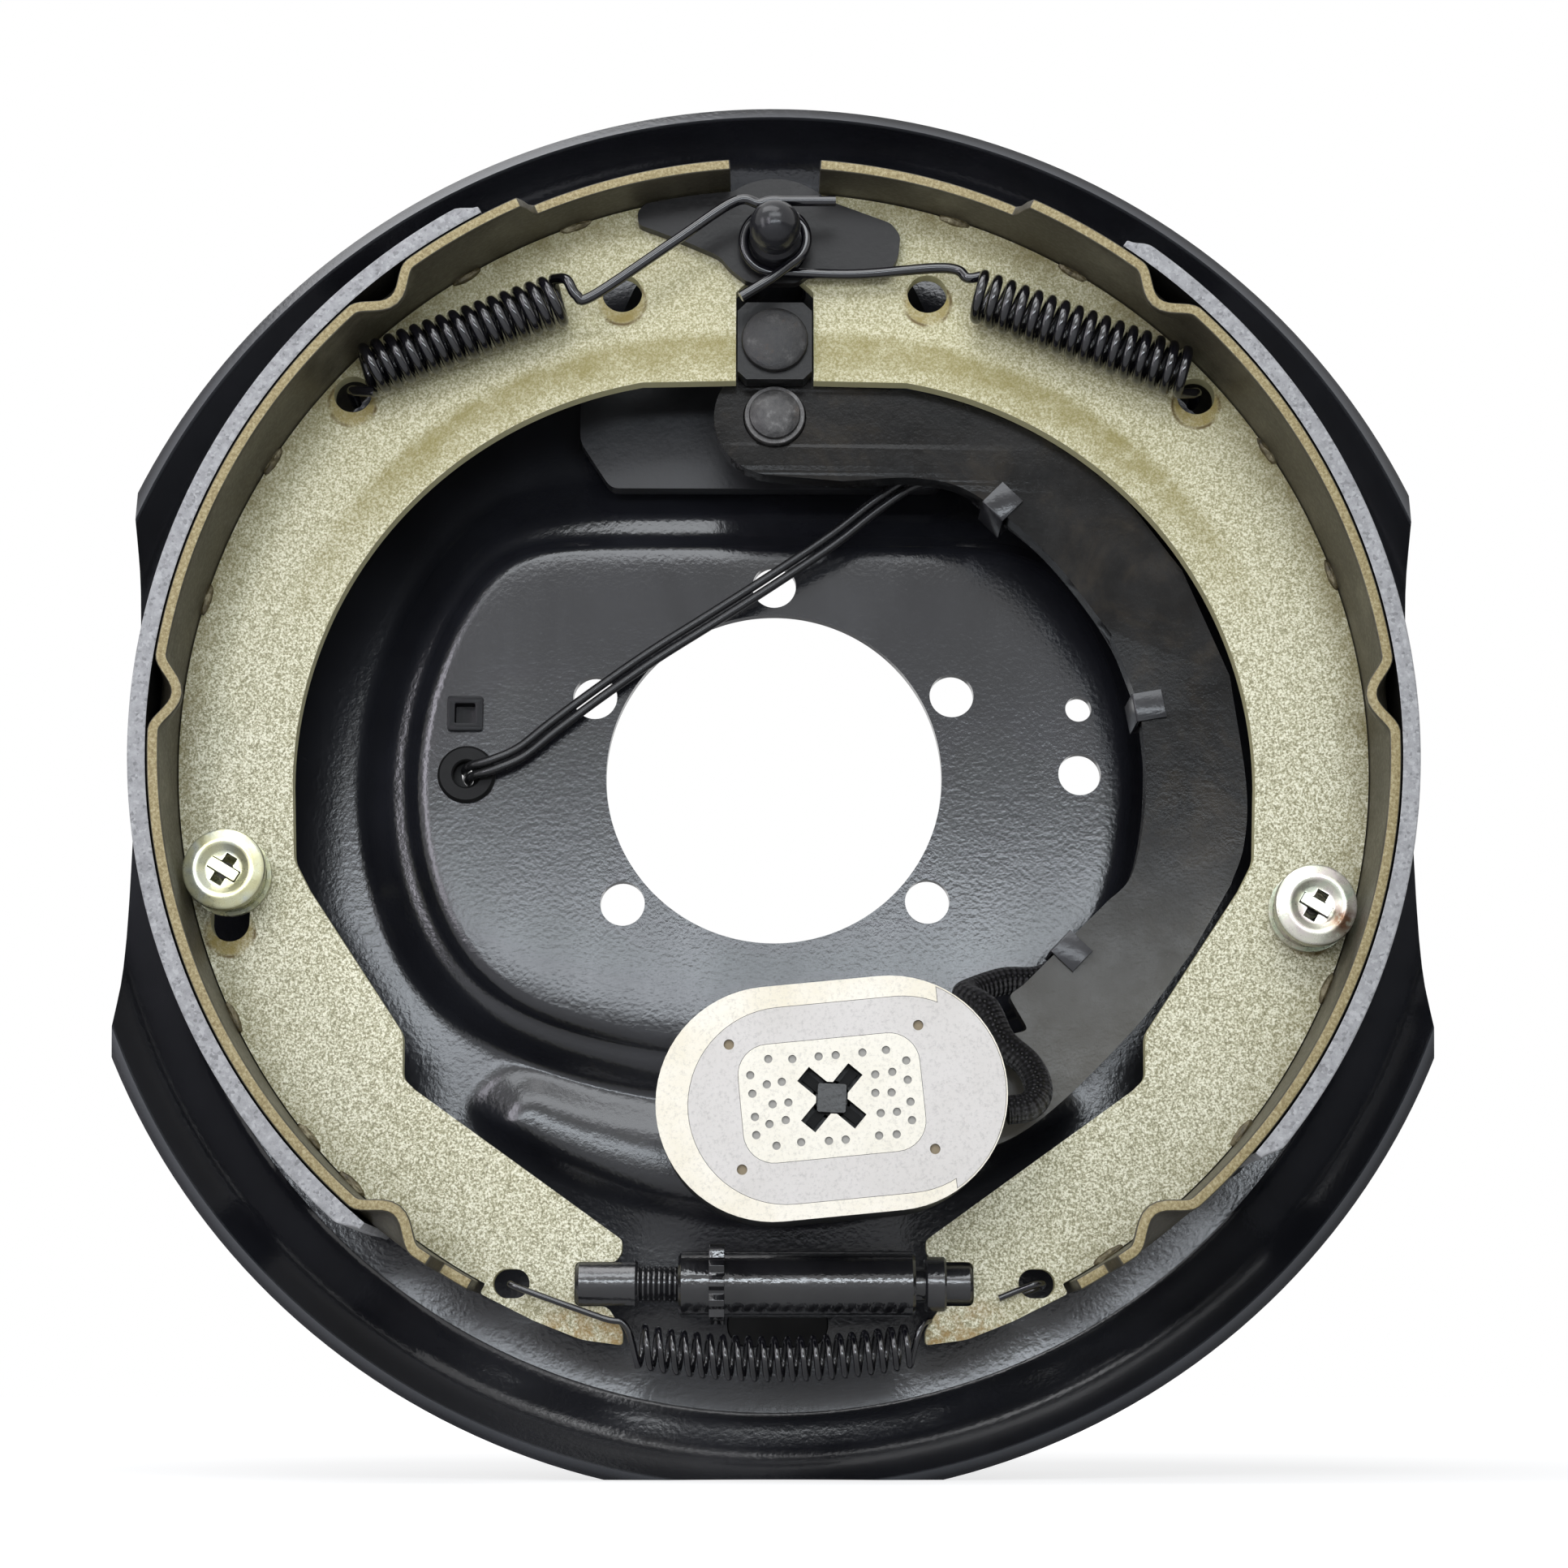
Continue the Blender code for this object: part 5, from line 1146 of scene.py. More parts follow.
def web_outline():
    mouth = WEB_MOUTH
    seat = POST_RADIUS + GAP
    corners = [(mouth, 0.0945), (0.033, 0.094)]
    sweep = arc_through(*WEB_SWEEP, 12)
    foot = [
        (0.1157, -0.027), (0.112, -0.034), (0.0884, -0.069), (0.0882, -0.0795), (0.0852, -0.0823),
        (0.0357, -0.1175), (0.0357, -0.1205), (0.0372, ADJUSTER_UP + SLOT_HALF),
        (ADJUSTER_HALF + GAP, ADJUSTER_UP + SLOT_HALF),
        (ADJUSTER_HALF + GAP, ADJUSTER_UP - SLOT_HALF), (0.039, ADJUSTER_UP - SLOT_HALF),
        (0.0353, -0.1385), (0.0353, -0.1418), (0.045, -0.1405), (0.056, -0.1362),
        polar(0.147, TABLE_FOOT - 0.6), polar(WEB_RADIUS, TABLE_FOOT - 0.6),
    ]
    foot = rounded([sweep[-1]] + foot + [polar(WEB_RADIUS, TABLE_FOOT)], 0.0016, 4, False)
    points = corners + sweep + foot[1:-1]
    points += [polar(WEB_RADIUS, degrees) for degrees in shoe_angles(TABLE_FOOT, TABLE_TOP, 1.0)]
    points += [(0.0022, 0.1385)]
    points += arc((0.0, POST_UP), seat, 74, -52, 8)
    points += [(mouth - 0.0012, 0.119), (mouth, 0.1178)]
    return points


def build_web(side, hold_at, hold_run, body, name):
    x, y = abs(hold_at[0]), hold_at[1]
    holes = [
        circle(SPRING_HOLE_AT, SPRING_HOLE),
        circle(TOOL_HOLE_AT, TOOL_HOLE),
        stadium(FOOT_HOLE_AT, FOOT_HOLE_LONG, FOOT_HOLE_WIDE, 0, 4),
        stadium((x, y - hold_run / 2), 2 * HOLD_HOLE + hold_run, 2 * HOLD_HOLE, 90, 5),
    ]
    loops = [mirrored(loop, side) for loop in [web_outline()] + holes]
    web = flat("web", loops, WEB_REAR, WEB_FRONT)
    web = bevelled(web, 0.0003, 2)
    stained = []
    for x, y in (SPRING_HOLE_AT, TOOL_HOLE_AT, (x, y - hold_run)):
        stained.append(world(side * x, y - 0.0024, WEB_FRONT))
    show(web, body, shoe_steel(name + "_steel", stained), name, FLAT_CREASE)


BEAD_SIZE = (0.0012, 0.004, 0.001)
WELDS = {
    -1: (69.6, 57.6, 30.5, 15.1, -26.9, -40.4, -46.4),
    1: (71.7, 58.7, 32.0, 18.0, -23.7, -39.9, -57.0),
}


def build_welds(side, body, name):
    """The short welds between a shoe's web and table, on the side of the drum."""
    beads = []
    for number, degrees in enumerate(WELDS[side]):
        mesh = bpy.data.meshes.new("bead")
        ball = bmesh.new()
        bmesh.ops.create_uvsphere(ball, u_segments=28, v_segments=18, radius=1.0)
        for vertex in ball.verts:
            wobble = 1 + 0.16 * noise.noise(vertex.co * 2.3 + Vector((number * 5.1, side, 0.0)))
            vertex.co = vertex.co * Vector(BEAD_SIZE) * wobble
        turn = Matrix.Rotation(math.radians(degrees), 4, "Z")
        x, y = polar(WEB_RADIUS - 0.0002, degrees)
        ball.transform(Matrix.Translation((x, y, WEB_FRONT + 0.0001)) @ turn)
        for vertex in ball.verts:
            vertex.co.x *= side
        ball.to_mesh(mesh)
        ball.free()
        beads.append(mesh_object("bead", mesh))
    look = Look(name + "_look", Metallic=0.3)
    colour = look.ramp(
        look.noise(260.0, 4.0, 0.7), (0.3, (0.03, 0.025, 0.014)), (0.5, (0.09, 0.07, 0.03)),
        (0.7, (0.26, 0.23, 0.14)),
    )
    look.coat(colour, 0.38)
    look.bump(look.noise(600.0, 4.0, 0.7), 0.5, 0.0006)
    beads = joined(name, beads)
    show(beads, body, look.material)


def lever_outline():
    inner = curved(
        millimetres((17, 69.8), (35.6, 70.6), (49.7, 66.5), (67.6, 51.2), (83.2, 30.4)), 10
    )
    inner += curved(millimetres((89.7, 12), (90.8, -7.5), (87.1, -28.6), (79.6, -37.2)), 10)
    low = millimetres((79.6, -37.2), (60, -56.5), (56.3, -59.1), (61, -67.5), (50, -70))
    inner += rounded(low, 0.0015, 4, False)[1:]
    boss = arc(MAGNET_AT, 0.014, 75, 285, 10)
    outer = curved(millimetres((30, -100), (58, -92.5), (84.9, -68.7), (101.1, -48.1)), 10)
    outer += curved(millimetres((110.6, -32.2), (114.1, -22.4), (115.2, -7.5), (112, 20)), 10)
    outer += curved(millimetres((101, 47), (83, 70), (60, 86.5), (34.8, 93.4)), 10)
    neck = [(0.017, 0.0945), (0.009, 0.099), (0.009, BLOCK_UP)]
    head = arc((0.0, BLOCK_UP), 0.009, 20, 160, 6)
    left = [(-0.009, BLOCK_UP), (-0.0092, 0.0985)] + arc((0.0, PIVOT_UP), LEVER_BOSS, 140, 265, 9)
    return left + inner + boss + outer + neck + head


def build_lever():
    holes = [
        circle((0.0, PIVOT_UP), PIVOT_PIN + GAP + BUSHING_WALL + GAP),
        circle((0.0, BLOCK_UP), STUD_RADIUS + GAP),
        circle(MAGNET_AT, PIN_RADIUS + GAP),
    ]
    lever = flat("lever", [lever_outline()] + holes, LEVER_REAR, LEVER_FRONT)
    lever = bevelled(lever, 0.0006, 3)
    look = Look("lever_coat", IOR=1.27)
    patch = look.noise(42.0, 6.0, 0.68, distortion=0.5)
    colour = look.ramp(
        patch, (0.38, (0.003, 0.003, 0.003)), (0.54, (0.007, 0.0062, 0.0055)),
        (0.7, (0.024, 0.019, 0.013)),
    )
    # Painted highlight: the lever's lower part is painted a lighter grey-brown, standing in for
    # light reflected off its face.
    low = look.level(look.parts["Z"], -0.02, -0.075)
    colour = look.over(colour, (0.105, 0.098, 0.082), low, 0.8)
    look.coat(colour, look.spread(look.noise(70.0, 5.0, 0.65), 0.13, 0.3))
    look.bump(look.noise(850.0, 3.0, 0.6), 0.12, 0.0005)
    show(lever, "lever", look.material, "lever_arm", FLAT_CREASE)

    inner = PIVOT_PIN + GAP
    top = LEVER_FRONT + GAP
    shape = [
        (BUSHING_FLANGE - 0.0002, top + BUSHING_WALL),
        (BUSHING_FLANGE, top + BUSHING_WALL - 0.0003), (BUSHING_FLANGE, top),
        (inner + BUSHING_WALL, top), (inner + BUSHING_WALL, LEVER_REAR), (inner, LEVER_REAR),
        (inner, top + BUSHING_WALL),
    ]
    bushing = turned("bushing", shape, (0.0, PIVOT_UP, 0.0), 64, closed=True)
    show(bushing, "lever", worn_steel("bushing_steel", (0.045, 0.043, 0.042)), "lever_bushing")

    top = BLOCK_FRONT + GAP
    shape = [
        (0.0, top + STUD_HEAD_THICK), (STUD_HEAD * 0.86, top + STUD_HEAD_THICK),
        (STUD_HEAD * 0.97, top + 0.0011), (STUD_HEAD, top + 0.0006), (STUD_HEAD, top),
    ]
    shape += rivet_profile(STUD_RADIUS, top, LEVER_REAR)[1:]
    stud = turned("block_stud_piece", shape, (0.0, BLOCK_UP, 0.0), 64)
    show(stud, "lever", worn_steel("stud_steel", (0.02, 0.02, 0.021), 0.4), "block_stud")

    x, y, c = BLOCK_HALF_WIDE, BLOCK_HALF_TALL, BLOCK_CHAMFER
    corners = [
        (x, y - c), (x - c, y), (c - x, y), (-x, y - c), (-x, c - y), (c - x, -y), (x - c, -y),
        (x, c - y),
    ]
    outline = [(a, BLOCK_UP + b) for a, b in corners]
    block = flat(
        "block", [outline, circle((0.0, BLOCK_UP), STUD_RADIUS + GAP)], BLOCK_REAR, BLOCK_FRONT
    )
    block = bevelled(block, 0.0004, 2)
    show(
        block, "block", black_coat("block_coat", (0.006, 0.006, 0.006), 0.4, 1.4, 0.12, 1.33),
        "actuator_block", FLAT_CREASE,
    )

    for number, (at, degrees) in enumerate(CLIPS, 1):
        sheet, front = CLIP_SHEET, LEVER_FRONT + GAP / 2
        inside, back = CLIP_INSIDE, SLEEVE_HEIGHT - SLEEVE_RADIUS - GAP
        outline = [
            (CLIP_REACH, front), (CLIP_REACH, front + sheet), (inside - sheet, front + sheet),
            (inside - sheet, back - sheet), (CLIP_REACH + 0.002, back - sheet),
            (CLIP_REACH + 0.002, back), (inside, back), (inside, front),
        ]
        clip = flat("clip", [rounded(outline, 0.0005, 3)], -CLIP_WIDE / 2, CLIP_WIDE / 2)
        stand, spin = TURN, Matrix.Rotation(math.radians(degrees), 4, "Z")
        for step in (stand, spin, Matrix.Translation((*at, 0.0))):
            clip.data.transform(step)
        clip = bevelled(clip, 0.00018, 2)
        clip.name = f"sleeve_clip_{number}"
        show(
            clip, "lever", black_coat(f"clip_coat_{number}", (0.018, 0.018, 0.02), 0.28),
            f"lever_clip_{number}",
        )


def magnet_loop(shrink):
    return stadium(MAGNET_AT, MAGNET_LONG - 2 * shrink, MAGNET_WIDE - 2 * shrink, MAGNET_TILT)


def core_loop(grow=0.0):
    return soft_box(
        MAGNET_AT, CORE_LONG + 2 * grow, CORE_WIDE + 2 * grow, CORE_CORNER + grow, MAGNET_TILT
    )


def cross_loop(reach, arm):
    a, r = arm / 2, reach
    loop = [
        (r, -a), (r, a), (a, a), (a, r), (-a, r), (-a, a), (-r, a), (-r, -a), (-a, -a), (-a, -r),
        (a, -r), (a, -a),
    ]
    return placed(loop, 45 + MAGNET_TILT, MAGNET_AT)


def cross_opening():
    """The cross-shaped hole in the core, with the square middle that the pin fills."""
    square = soft_box(MAGNET_AT, PIN_ROOM, PIN_ROOM, 0.0003, PIN_TILT, 1)
    low, high = MAGNET_FRONT - CROSS_DEPTH, MAGNET_FRONT + 0.004
    return merged(
        flat("cross", [cross_loop(CROSS_REACH, CROSS_ARM)], low, high),
        flat("square", [square], low, high),
    )


def tilted(x, y):
    """A place on the magnet's face, from its middle, along its long and short sides."""
    return placed([(x, y)], MAGNET_TILT, MAGNET_AT)[0]


PAD_HOLES = ((-23.5, 12.1), (19.8, 16.6), (-20.4, -16.3), (23.4, -11.6))
CORE_HOLES = (
    (-14.5, 8.8), (-9.0, 8.8), (-3.0, 9.4), (0.9, 9.7), (7.0, 10.3), (12.4, 10.9), (17.0, 8.5),
    (-18.6, 5.1), (-14.8, 3.0), (-11.4, 3.6), (9.9, 5.3), (13.8, 5.9), (17.3, 4.1),
    (-18.1, 0.9), (-13.5, -1.5), (-9.9, -1.1), (9.9, 1.1), (13.6, 1.2), (17.9, -0.9),
    (-17.5, -4.4), (-14.2, -6.0), (-10.5, -5.1), (11.1, -3.5), (14.8, -3.2), (18.2, -5.1),
    (-17.2, -8.5), (-12.6, -10.9), (-7.0, -10.1), (-0.7, -9.8), (3.1, -9.5), (10.7, -8.6),
    (14.7, -8.3),
)


def pits(places, radius, depth, steps=20):
    made = []
    for x, y in places:
        at = (MAGNET_AT[0] + x / 1000, MAGNET_AT[1] + y / 1000, 0.0)
        made.append(rod("pit", radius, MAGNET_FRONT - depth, MAGNET_FRONT + 0.002, at, steps))
    return joined("pits", made)


def pad_block(shrink, low, high):
    """The pad's shape: a smaller stadium that widens to the magnet's whole end at the right."""
    whole = flat("pad_end", [magnet_loop(0.0003 + shrink)], low, high)
    x, y = 0.0262 + shrink, 0.05
    keep = [tilted(x, -y), tilted(0.06, -y), tilted(0.06, y), tilted(x, y)]
    whole = boolean(whole, flat("keep", [keep], low - 0.01, high + 0.01), "INTERSECT")
    inner = stadium(tilted(0.003, -0.0007), 0.0719 - 2 * shrink, 0.045 - 2 * shrink, MAGNET_TILT)
    return merged(flat("pad_middle", [inner], low, high), whole)


def build_magnet():
    shell = flat(
        "shell", [magnet_loop(0.0), magnet_loop(MAGNET_WALL)], POT_FLOOR - 0.0002, MAGNET_FRONT
    )
    spring_room = circle(MAGNET_AT, MAGNET_SPRING_RADIUS + MAGNET_SPRING_WIRE + 2 * GAP)
    floor = flat("shell_floor", [magnet_loop(0.0), spring_room], MAGNET_REAR, POT_FLOOR)
    shell = merged(shell, floor)
    shell = cut(shell, pad_block(0.0, MAGNET_FRONT - 0.0025, MAGNET_FRONT + 0.002))
    shell = bevelled(shell, 0.0004, 2)
    cream = magnet_look("shell_look", (0.88, 0.83, 0.715), (0.8, 0.735, 0.58), 0.4)
    show(shell, "magnet", cream, "magnet_shell", FLAT_CREASE)

    low = POT_FLOOR + 2 * GAP + COIL_HEIGHT
    pad = flat("pad", [magnet_loop(MAGNET_WALL + GAP)], low, MAGNET_FRONT - 0.0022)
    pad = merged(pad, pad_block(0.0001, MAGNET_FRONT - 0.0024, MAGNET_FRONT))
    pad = cut(pad, flat("core_room", [core_loop(0.0001)], low - 0.01, MAGNET_FRONT + 0.01))
    pad = cut(pad, pits(PAD_HOLES, 0.0012, 0.0009))
    # The last colour is painted shade in the pad's pits.
    warm = magnet_look("pad_look", (0.68, 0.65, 0.615), (0.63, 0.6, 0.56), 0.62, (0.34, 0.27, 0.17))
    show(pad, "magnet", warm, "friction_pad", FLAT_CREASE)

    core = flat("core", [core_loop()], MAGNET_FRONT - CROSS_DEPTH, MAGNET_FRONT)
    core = cut(core, cross_opening())
    hole = circle(MAGNET_AT, PIN_RADIUS + 2 * GAP)
    below = flat("core_below", [core_loop(), hole], POT_FLOOR + GAP, MAGNET_FRONT - CROSS_DEPTH)
    core = merged(core, below)
    core = cut(core, pits(CORE_HOLES, 0.00095, 0.0007))
    # The last colour is painted shade in the core's pits.
    pale = magnet_look("core_look", (0.86, 0.82, 0.71), (0.8, 0.755, 0.63), 0.44, (0.42, 0.4, 0.36))
    show(core, "magnet", pale, "magnet_core", FLAT_CREASE)

    clip = flat(
        "clip", [cross_loop(0.008, 0.0022), circle(MAGNET_AT, 0.0009)], MAGNET_FRONT - 0.0032,
        MAGNET_FRONT - 0.0024,
    )
    clip = bevelled(clip, 0.0002, 1)
    show(clip, "magnet", black_coat("core_clip_coat", (0.002, 0.002, 0.002), 0.5, 1.0, 0.0, 1.2))

    rear = LEVER_REAR - GAP
    neck = MAGNET_FRONT - CROSS_DEPTH + 0.0005
    shape = [
        (0.0, neck), (PIN_RADIUS, neck), (PIN_RADIUS, rear), (PIN_RADIUS + RIVET_SPREAD, rear),
        (PIN_RADIUS + 0.001, rear - RIVET_THICK), (0.0, rear - RIVET_THICK),
    ]
    pin = turned("pin", shape, (*MAGNET_AT, 0.0), 40)
    tip = soft_box(MAGNET_AT, PIN_TIP, PIN_TIP, 0.0005, PIN_TILT, 1)
    pin = merged(pin, flat("tip", [tip], neck - 0.001, MAGNET_FRONT - 0.0004))
    pin = bevelled(pin, 0.0004, 2)
    show(pin, "lever", black_coat("pin_coat", (0.02, 0.02, 0.019), 0.4, 1.6, 0.3), "magnet_pin")

    wound = Look("winding_look", Metallic=0.3)
    inputs = {"Vector": wound.coordinates, "Scale": 260.0, "Distortion": 0.6}
    bands = wound.node("TexWave", inputs, bands_direction="Y").outputs["Fac"]
    wound.coat(wound.ramp(bands, (0.2, (0.16, 0.045, 0.015)), (0.8, (0.5, 0.19, 0.07))), 0.3)
    wound.bump(bands, 0.6, 0.0004)
    low = POT_FLOOR + GAP
    coil_piece = flat(
        "winding", [magnet_loop(MAGNET_WALL + GAP), core_loop(GAP)], low, low + COIL_HEIGHT
    )
    show(coil_piece, "magnet", wound.material, "magnet_coil")

    low = LEVER_FRONT + GAP + MAGNET_SPRING_WIRE
    high = MAGNET_REAR + 0.0015 - GAP - MAGNET_SPRING_WIRE - MAGNET_TRAVEL
    points = coil((*MAGNET_AT, low), (*MAGNET_AT, high), MAGNET_SPRING_RADIUS, 2.5)
    spring = wire("pressure_spring", points, MAGNET_SPRING_WIRE)
    zinc = iridescent("pressure_spring_zinc", (0.5, 0.5, 0.48), (0.6, 0.58, 0.5), (0.5, 0.5, 0.55))
    show(spring, "lever", zinc, "magnet_spring")


def hook_and_body(side, end):
    """A return spring's hook through the web and its turns, up to the last one."""
    (x, y), (seen_x, seen_y) = SPRING_HOLE_AT, SPRING_SEEN_AT
    hook = [
        (x, y, WEB_REAR - 0.003), (x, y, WEB_FRONT + 0.002), (0.103, 0.0893, SPRING_HEIGHT - 0.001)
    ]
    start = (side * seen_x, seen_y, SPRING_HEIGHT)
    body = coil(start, end, SPRING_RADIUS, SPRING_TURNS - 0.5, 180 if side < 0 else 0)
    return curved(mirrored(hook, side), 6)[:-1], body


def build_springs():
    black = spring_steel("return_spring_steel")
    high = GROOVE_FRONT - GAP - SPRING_WIRE
    hook, body = hook_and_body(-1, (-0.053, 0.1134, SPRING_HEIGHT))
    tail = [
        (-0.0515, 0.1165, SPRING_HEIGHT + 0.0045), (-0.049, 0.1125, SPRING_HEIGHT + 0.0045),
        (-0.045, 0.1125, SPRING_HEIGHT + 0.004), (-0.025, 0.1262, high - 0.001),
        (-0.01, 0.1364, high),
    ]
    over = [(x, y, high) for x, y in arc((0.0, POST_UP), WRAP, 118, 80, 3)]
    tail = curved([body[-1]] + tail + [over[0]], 8)[1:-1]
    points = hook + body + tail + over + [(0.015, 0.1366, high)]
    left = wire("left_return_spring", points, SPRING_WIRE, 5)
    show(left, "backing", black, "secondary_return_spring", WIRE_CREASE)

    low = GROOVE_REAR + SPRING_WIRE + GAP
    high = low + 2 * SPRING_WIRE + 0.0012
    hook, body = hook_and_body(1, (0.05, 0.1145, SPRING_HEIGHT))
    tail = [
        (0.048, 0.119, SPRING_HEIGHT), (0.0455, 0.1215, SPRING_HEIGHT - 0.001),
        (0.039, 0.1222, low + 0.0003), (0.02, 0.1206, low),
    ]
    loop = arc((0.0, POST_UP), WRAP, 285, -60, 16)
    last = len(loop) - 1
    rise = [(x, y, low + (high - low) * k / last) for k, (x, y) in enumerate(loop)]
    tail = curved([body[-1]] + tail + [rise[0]], 8)[1:-1]
    ending = [(-0.001, 0.1178, high + 0.0004), (-0.0085, 0.113, high + 0.0004)]
    right = wire("right_return_spring", hook + body + tail + rise + ending, SPRING_WIRE, 5)
    show(right, "backing", black, "primary_return_spring", WIRE_CREASE)

    height = WEB_FRONT + GAP + FOOT_WIRE + 0.002
    half = FOOT_SPRING_HALF
    left = [
        (-FOOT_HOLE_AT[0], FOOT_HOLE_AT[1], WEB_REAR - 0.0025),
        (-FOOT_HOLE_AT[0], FOOT_HOLE_AT[1], WEB_FRONT + 0.0012),
        (-0.0592, -0.1288, height + 0.0004), (-0.04, -0.1356, height + 0.001),
        (-0.0345, -0.1374, height + 0.001),
    ]
    start, end = (-half, FOOT_SPRING_UP, height), (half, FOOT_SPRING_UP, height)
    body = coil(start, end, FOOT_SPRING_RADIUS, FOOT_SPRING_TURNS, 180, FOOT_SPRING_SAG, 22)
    behind, above = WEB_REAR - GAP - FOOT_WIRE, WEB_FRONT + GAP + FOOT_WIRE
    right = [
        (0.0345, -0.137, height), (0.04, -0.1362, behind - 0.0012),
        (0.05, -0.1325, behind - 0.0008), (0.0612, -0.129, behind),
        (0.0632, -0.1276, (behind + above) / 2), (0.061, -0.1278, above + 0.0006),
        (0.057, -0.1292, above), (0.0525, -0.131, above),
    ]
    left, right = curved(left + [body[0]], 6)[:-1], curved([body[-1]] + right, 8)[1:]
    spring = wire("lower_spring", left + body + right, FOOT_WIRE, 3)
    show(spring, "backing", black, "adjuster_spring", WIRE_CREASE)


def key_slots(low, high, spare=0.0):
    found = []
    for side in (-1, 1):
        near, far = ADJUSTER_UP + side * (SLOT_KEY - spare), ADJUSTER_UP + side * 0.02
        loop = [(low, near), (high, near), (high, far), (low, far)]
        half = WEB_THICK / 2 + 2 * GAP + spare
        found.append(flat("key", [loop], ADJUSTER_HEIGHT - half, ADJUSTER_HEIGHT + half))
    return joined("keys", found)


def build_adjuster():
    black = black_coat("adjuster_coat", (0.006, 0.006, 0.007), 0.2, 1.6, 0.1, 1.75)
    left = -ADJUSTER_HALF
    end = left + STUD_END_LENGTH
    tip = BARREL_LEFT + 0.03
    crest, root = THREAD_RADIUS, THREAD_RADIUS - THREAD_DEPTH
    turns = round((BARREL_LEFT + 0.002 - end) / THREAD_PITCH)
    shape = [(0.0, tip), (crest, tip), (crest, BARREL_LEFT + 0.002)]
    for k in range(turns, 0, -1):
        x = end + k * THREAD_PITCH
        shape += [
            (crest, x - 0.15 * THREAD_PITCH), (root, x - 0.5 * THREAD_PITCH),
            (crest, x - 0.85 * THREAD_PITCH),
        ]
    shape += [
        (crest, end), (STUD_END_RADIUS - 0.0006, end), (STUD_END_RADIUS, end - 0.0006),
        (STUD_END_RADIUS, left + 0.0008), (STUD_END_RADIUS - 0.0008, left), (0.0, left),
    ]
    stud = turned("stud", shape, ADJUSTER_AT, 56, lying=True)
    stud = cut(stud, key_slots(left - 0.01, left + STUD_SLOT_LENGTH, STUD_SLOT_SPARE))
    show(stud, "adjuster_stud", black, "adjuster_stud")

    bore = THREAD_RADIUS + GAP
    c = 0.0007
    shape = [
        (BARREL_RADIUS - c, BARREL_RIGHT), (BARREL_RADIUS, BARREL_RIGHT - c),
        (BARREL_RADIUS, BARREL_LEFT + c), (BARREL_RADIUS - c, BARREL_LEFT), (bore, BARREL_LEFT),
        (bore, BARREL_RIGHT),
    ]
    barrel = turned("barrel", shape, ADJUSTER_AT, 64, closed=True, lying=True)
    teeth = []
    for k in range(STAR_TEETH):
        middle = 360.0 * k / STAR_TEETH
        for radius, off in ((STAR_ROOT, -12), (STAR_RADIUS, -5), (STAR_RADIUS, 5), (STAR_ROOT, 12)):
            teeth.append(polar(radius, middle + off))
    star = flat("star", [teeth, circle((0.0, 0.0), bore + 0.001)], -STAR_THICK / 2, STAR_THICK / 2)
    star = bevelled(star, 0.0003, 2)
    star.data.transform(Matrix.Rotation(math.radians(90), 4, "Y"))
    star.data.transform(
        Matrix.Translation((STAR_FROM + STAR_THICK / 2, ADJUSTER_UP, ADJUSTER_HEIGHT))
    )
    show(joined("barrel", [barrel, star]), "adjuster_barrel", black, "adjuster_barrel")

    right = ADJUSTER_HALF
    end = right - SOCKET_END_LENGTH
    collar = end - SOCKET_COLLAR_LENGTH
    shape = [
        (0.0, right), (SOCKET_END - 0.0006, right), (SOCKET_END, right - 0.0006), (SOCKET_END, end),
        (SOCKET_COLLAR - 0.0005, end), (SOCKET_COLLAR, end - 0.0005),
        (SOCKET_COLLAR, collar + 0.0005), (SOCKET_COLLAR - 0.0005, collar), (THREAD_RADIUS, collar),
        (THREAD_RADIUS, collar - SOCKET_DEPTH), (0.0, collar - SOCKET_DEPTH),
    ]
    socket = turned("socket", shape, ADJUSTER_AT, 56, lying=True)
    socket = cut(socket, key_slots(SOCKET_SLOT_FROM, right + 0.01))
    show(socket, "backing", black, "adjuster_socket")


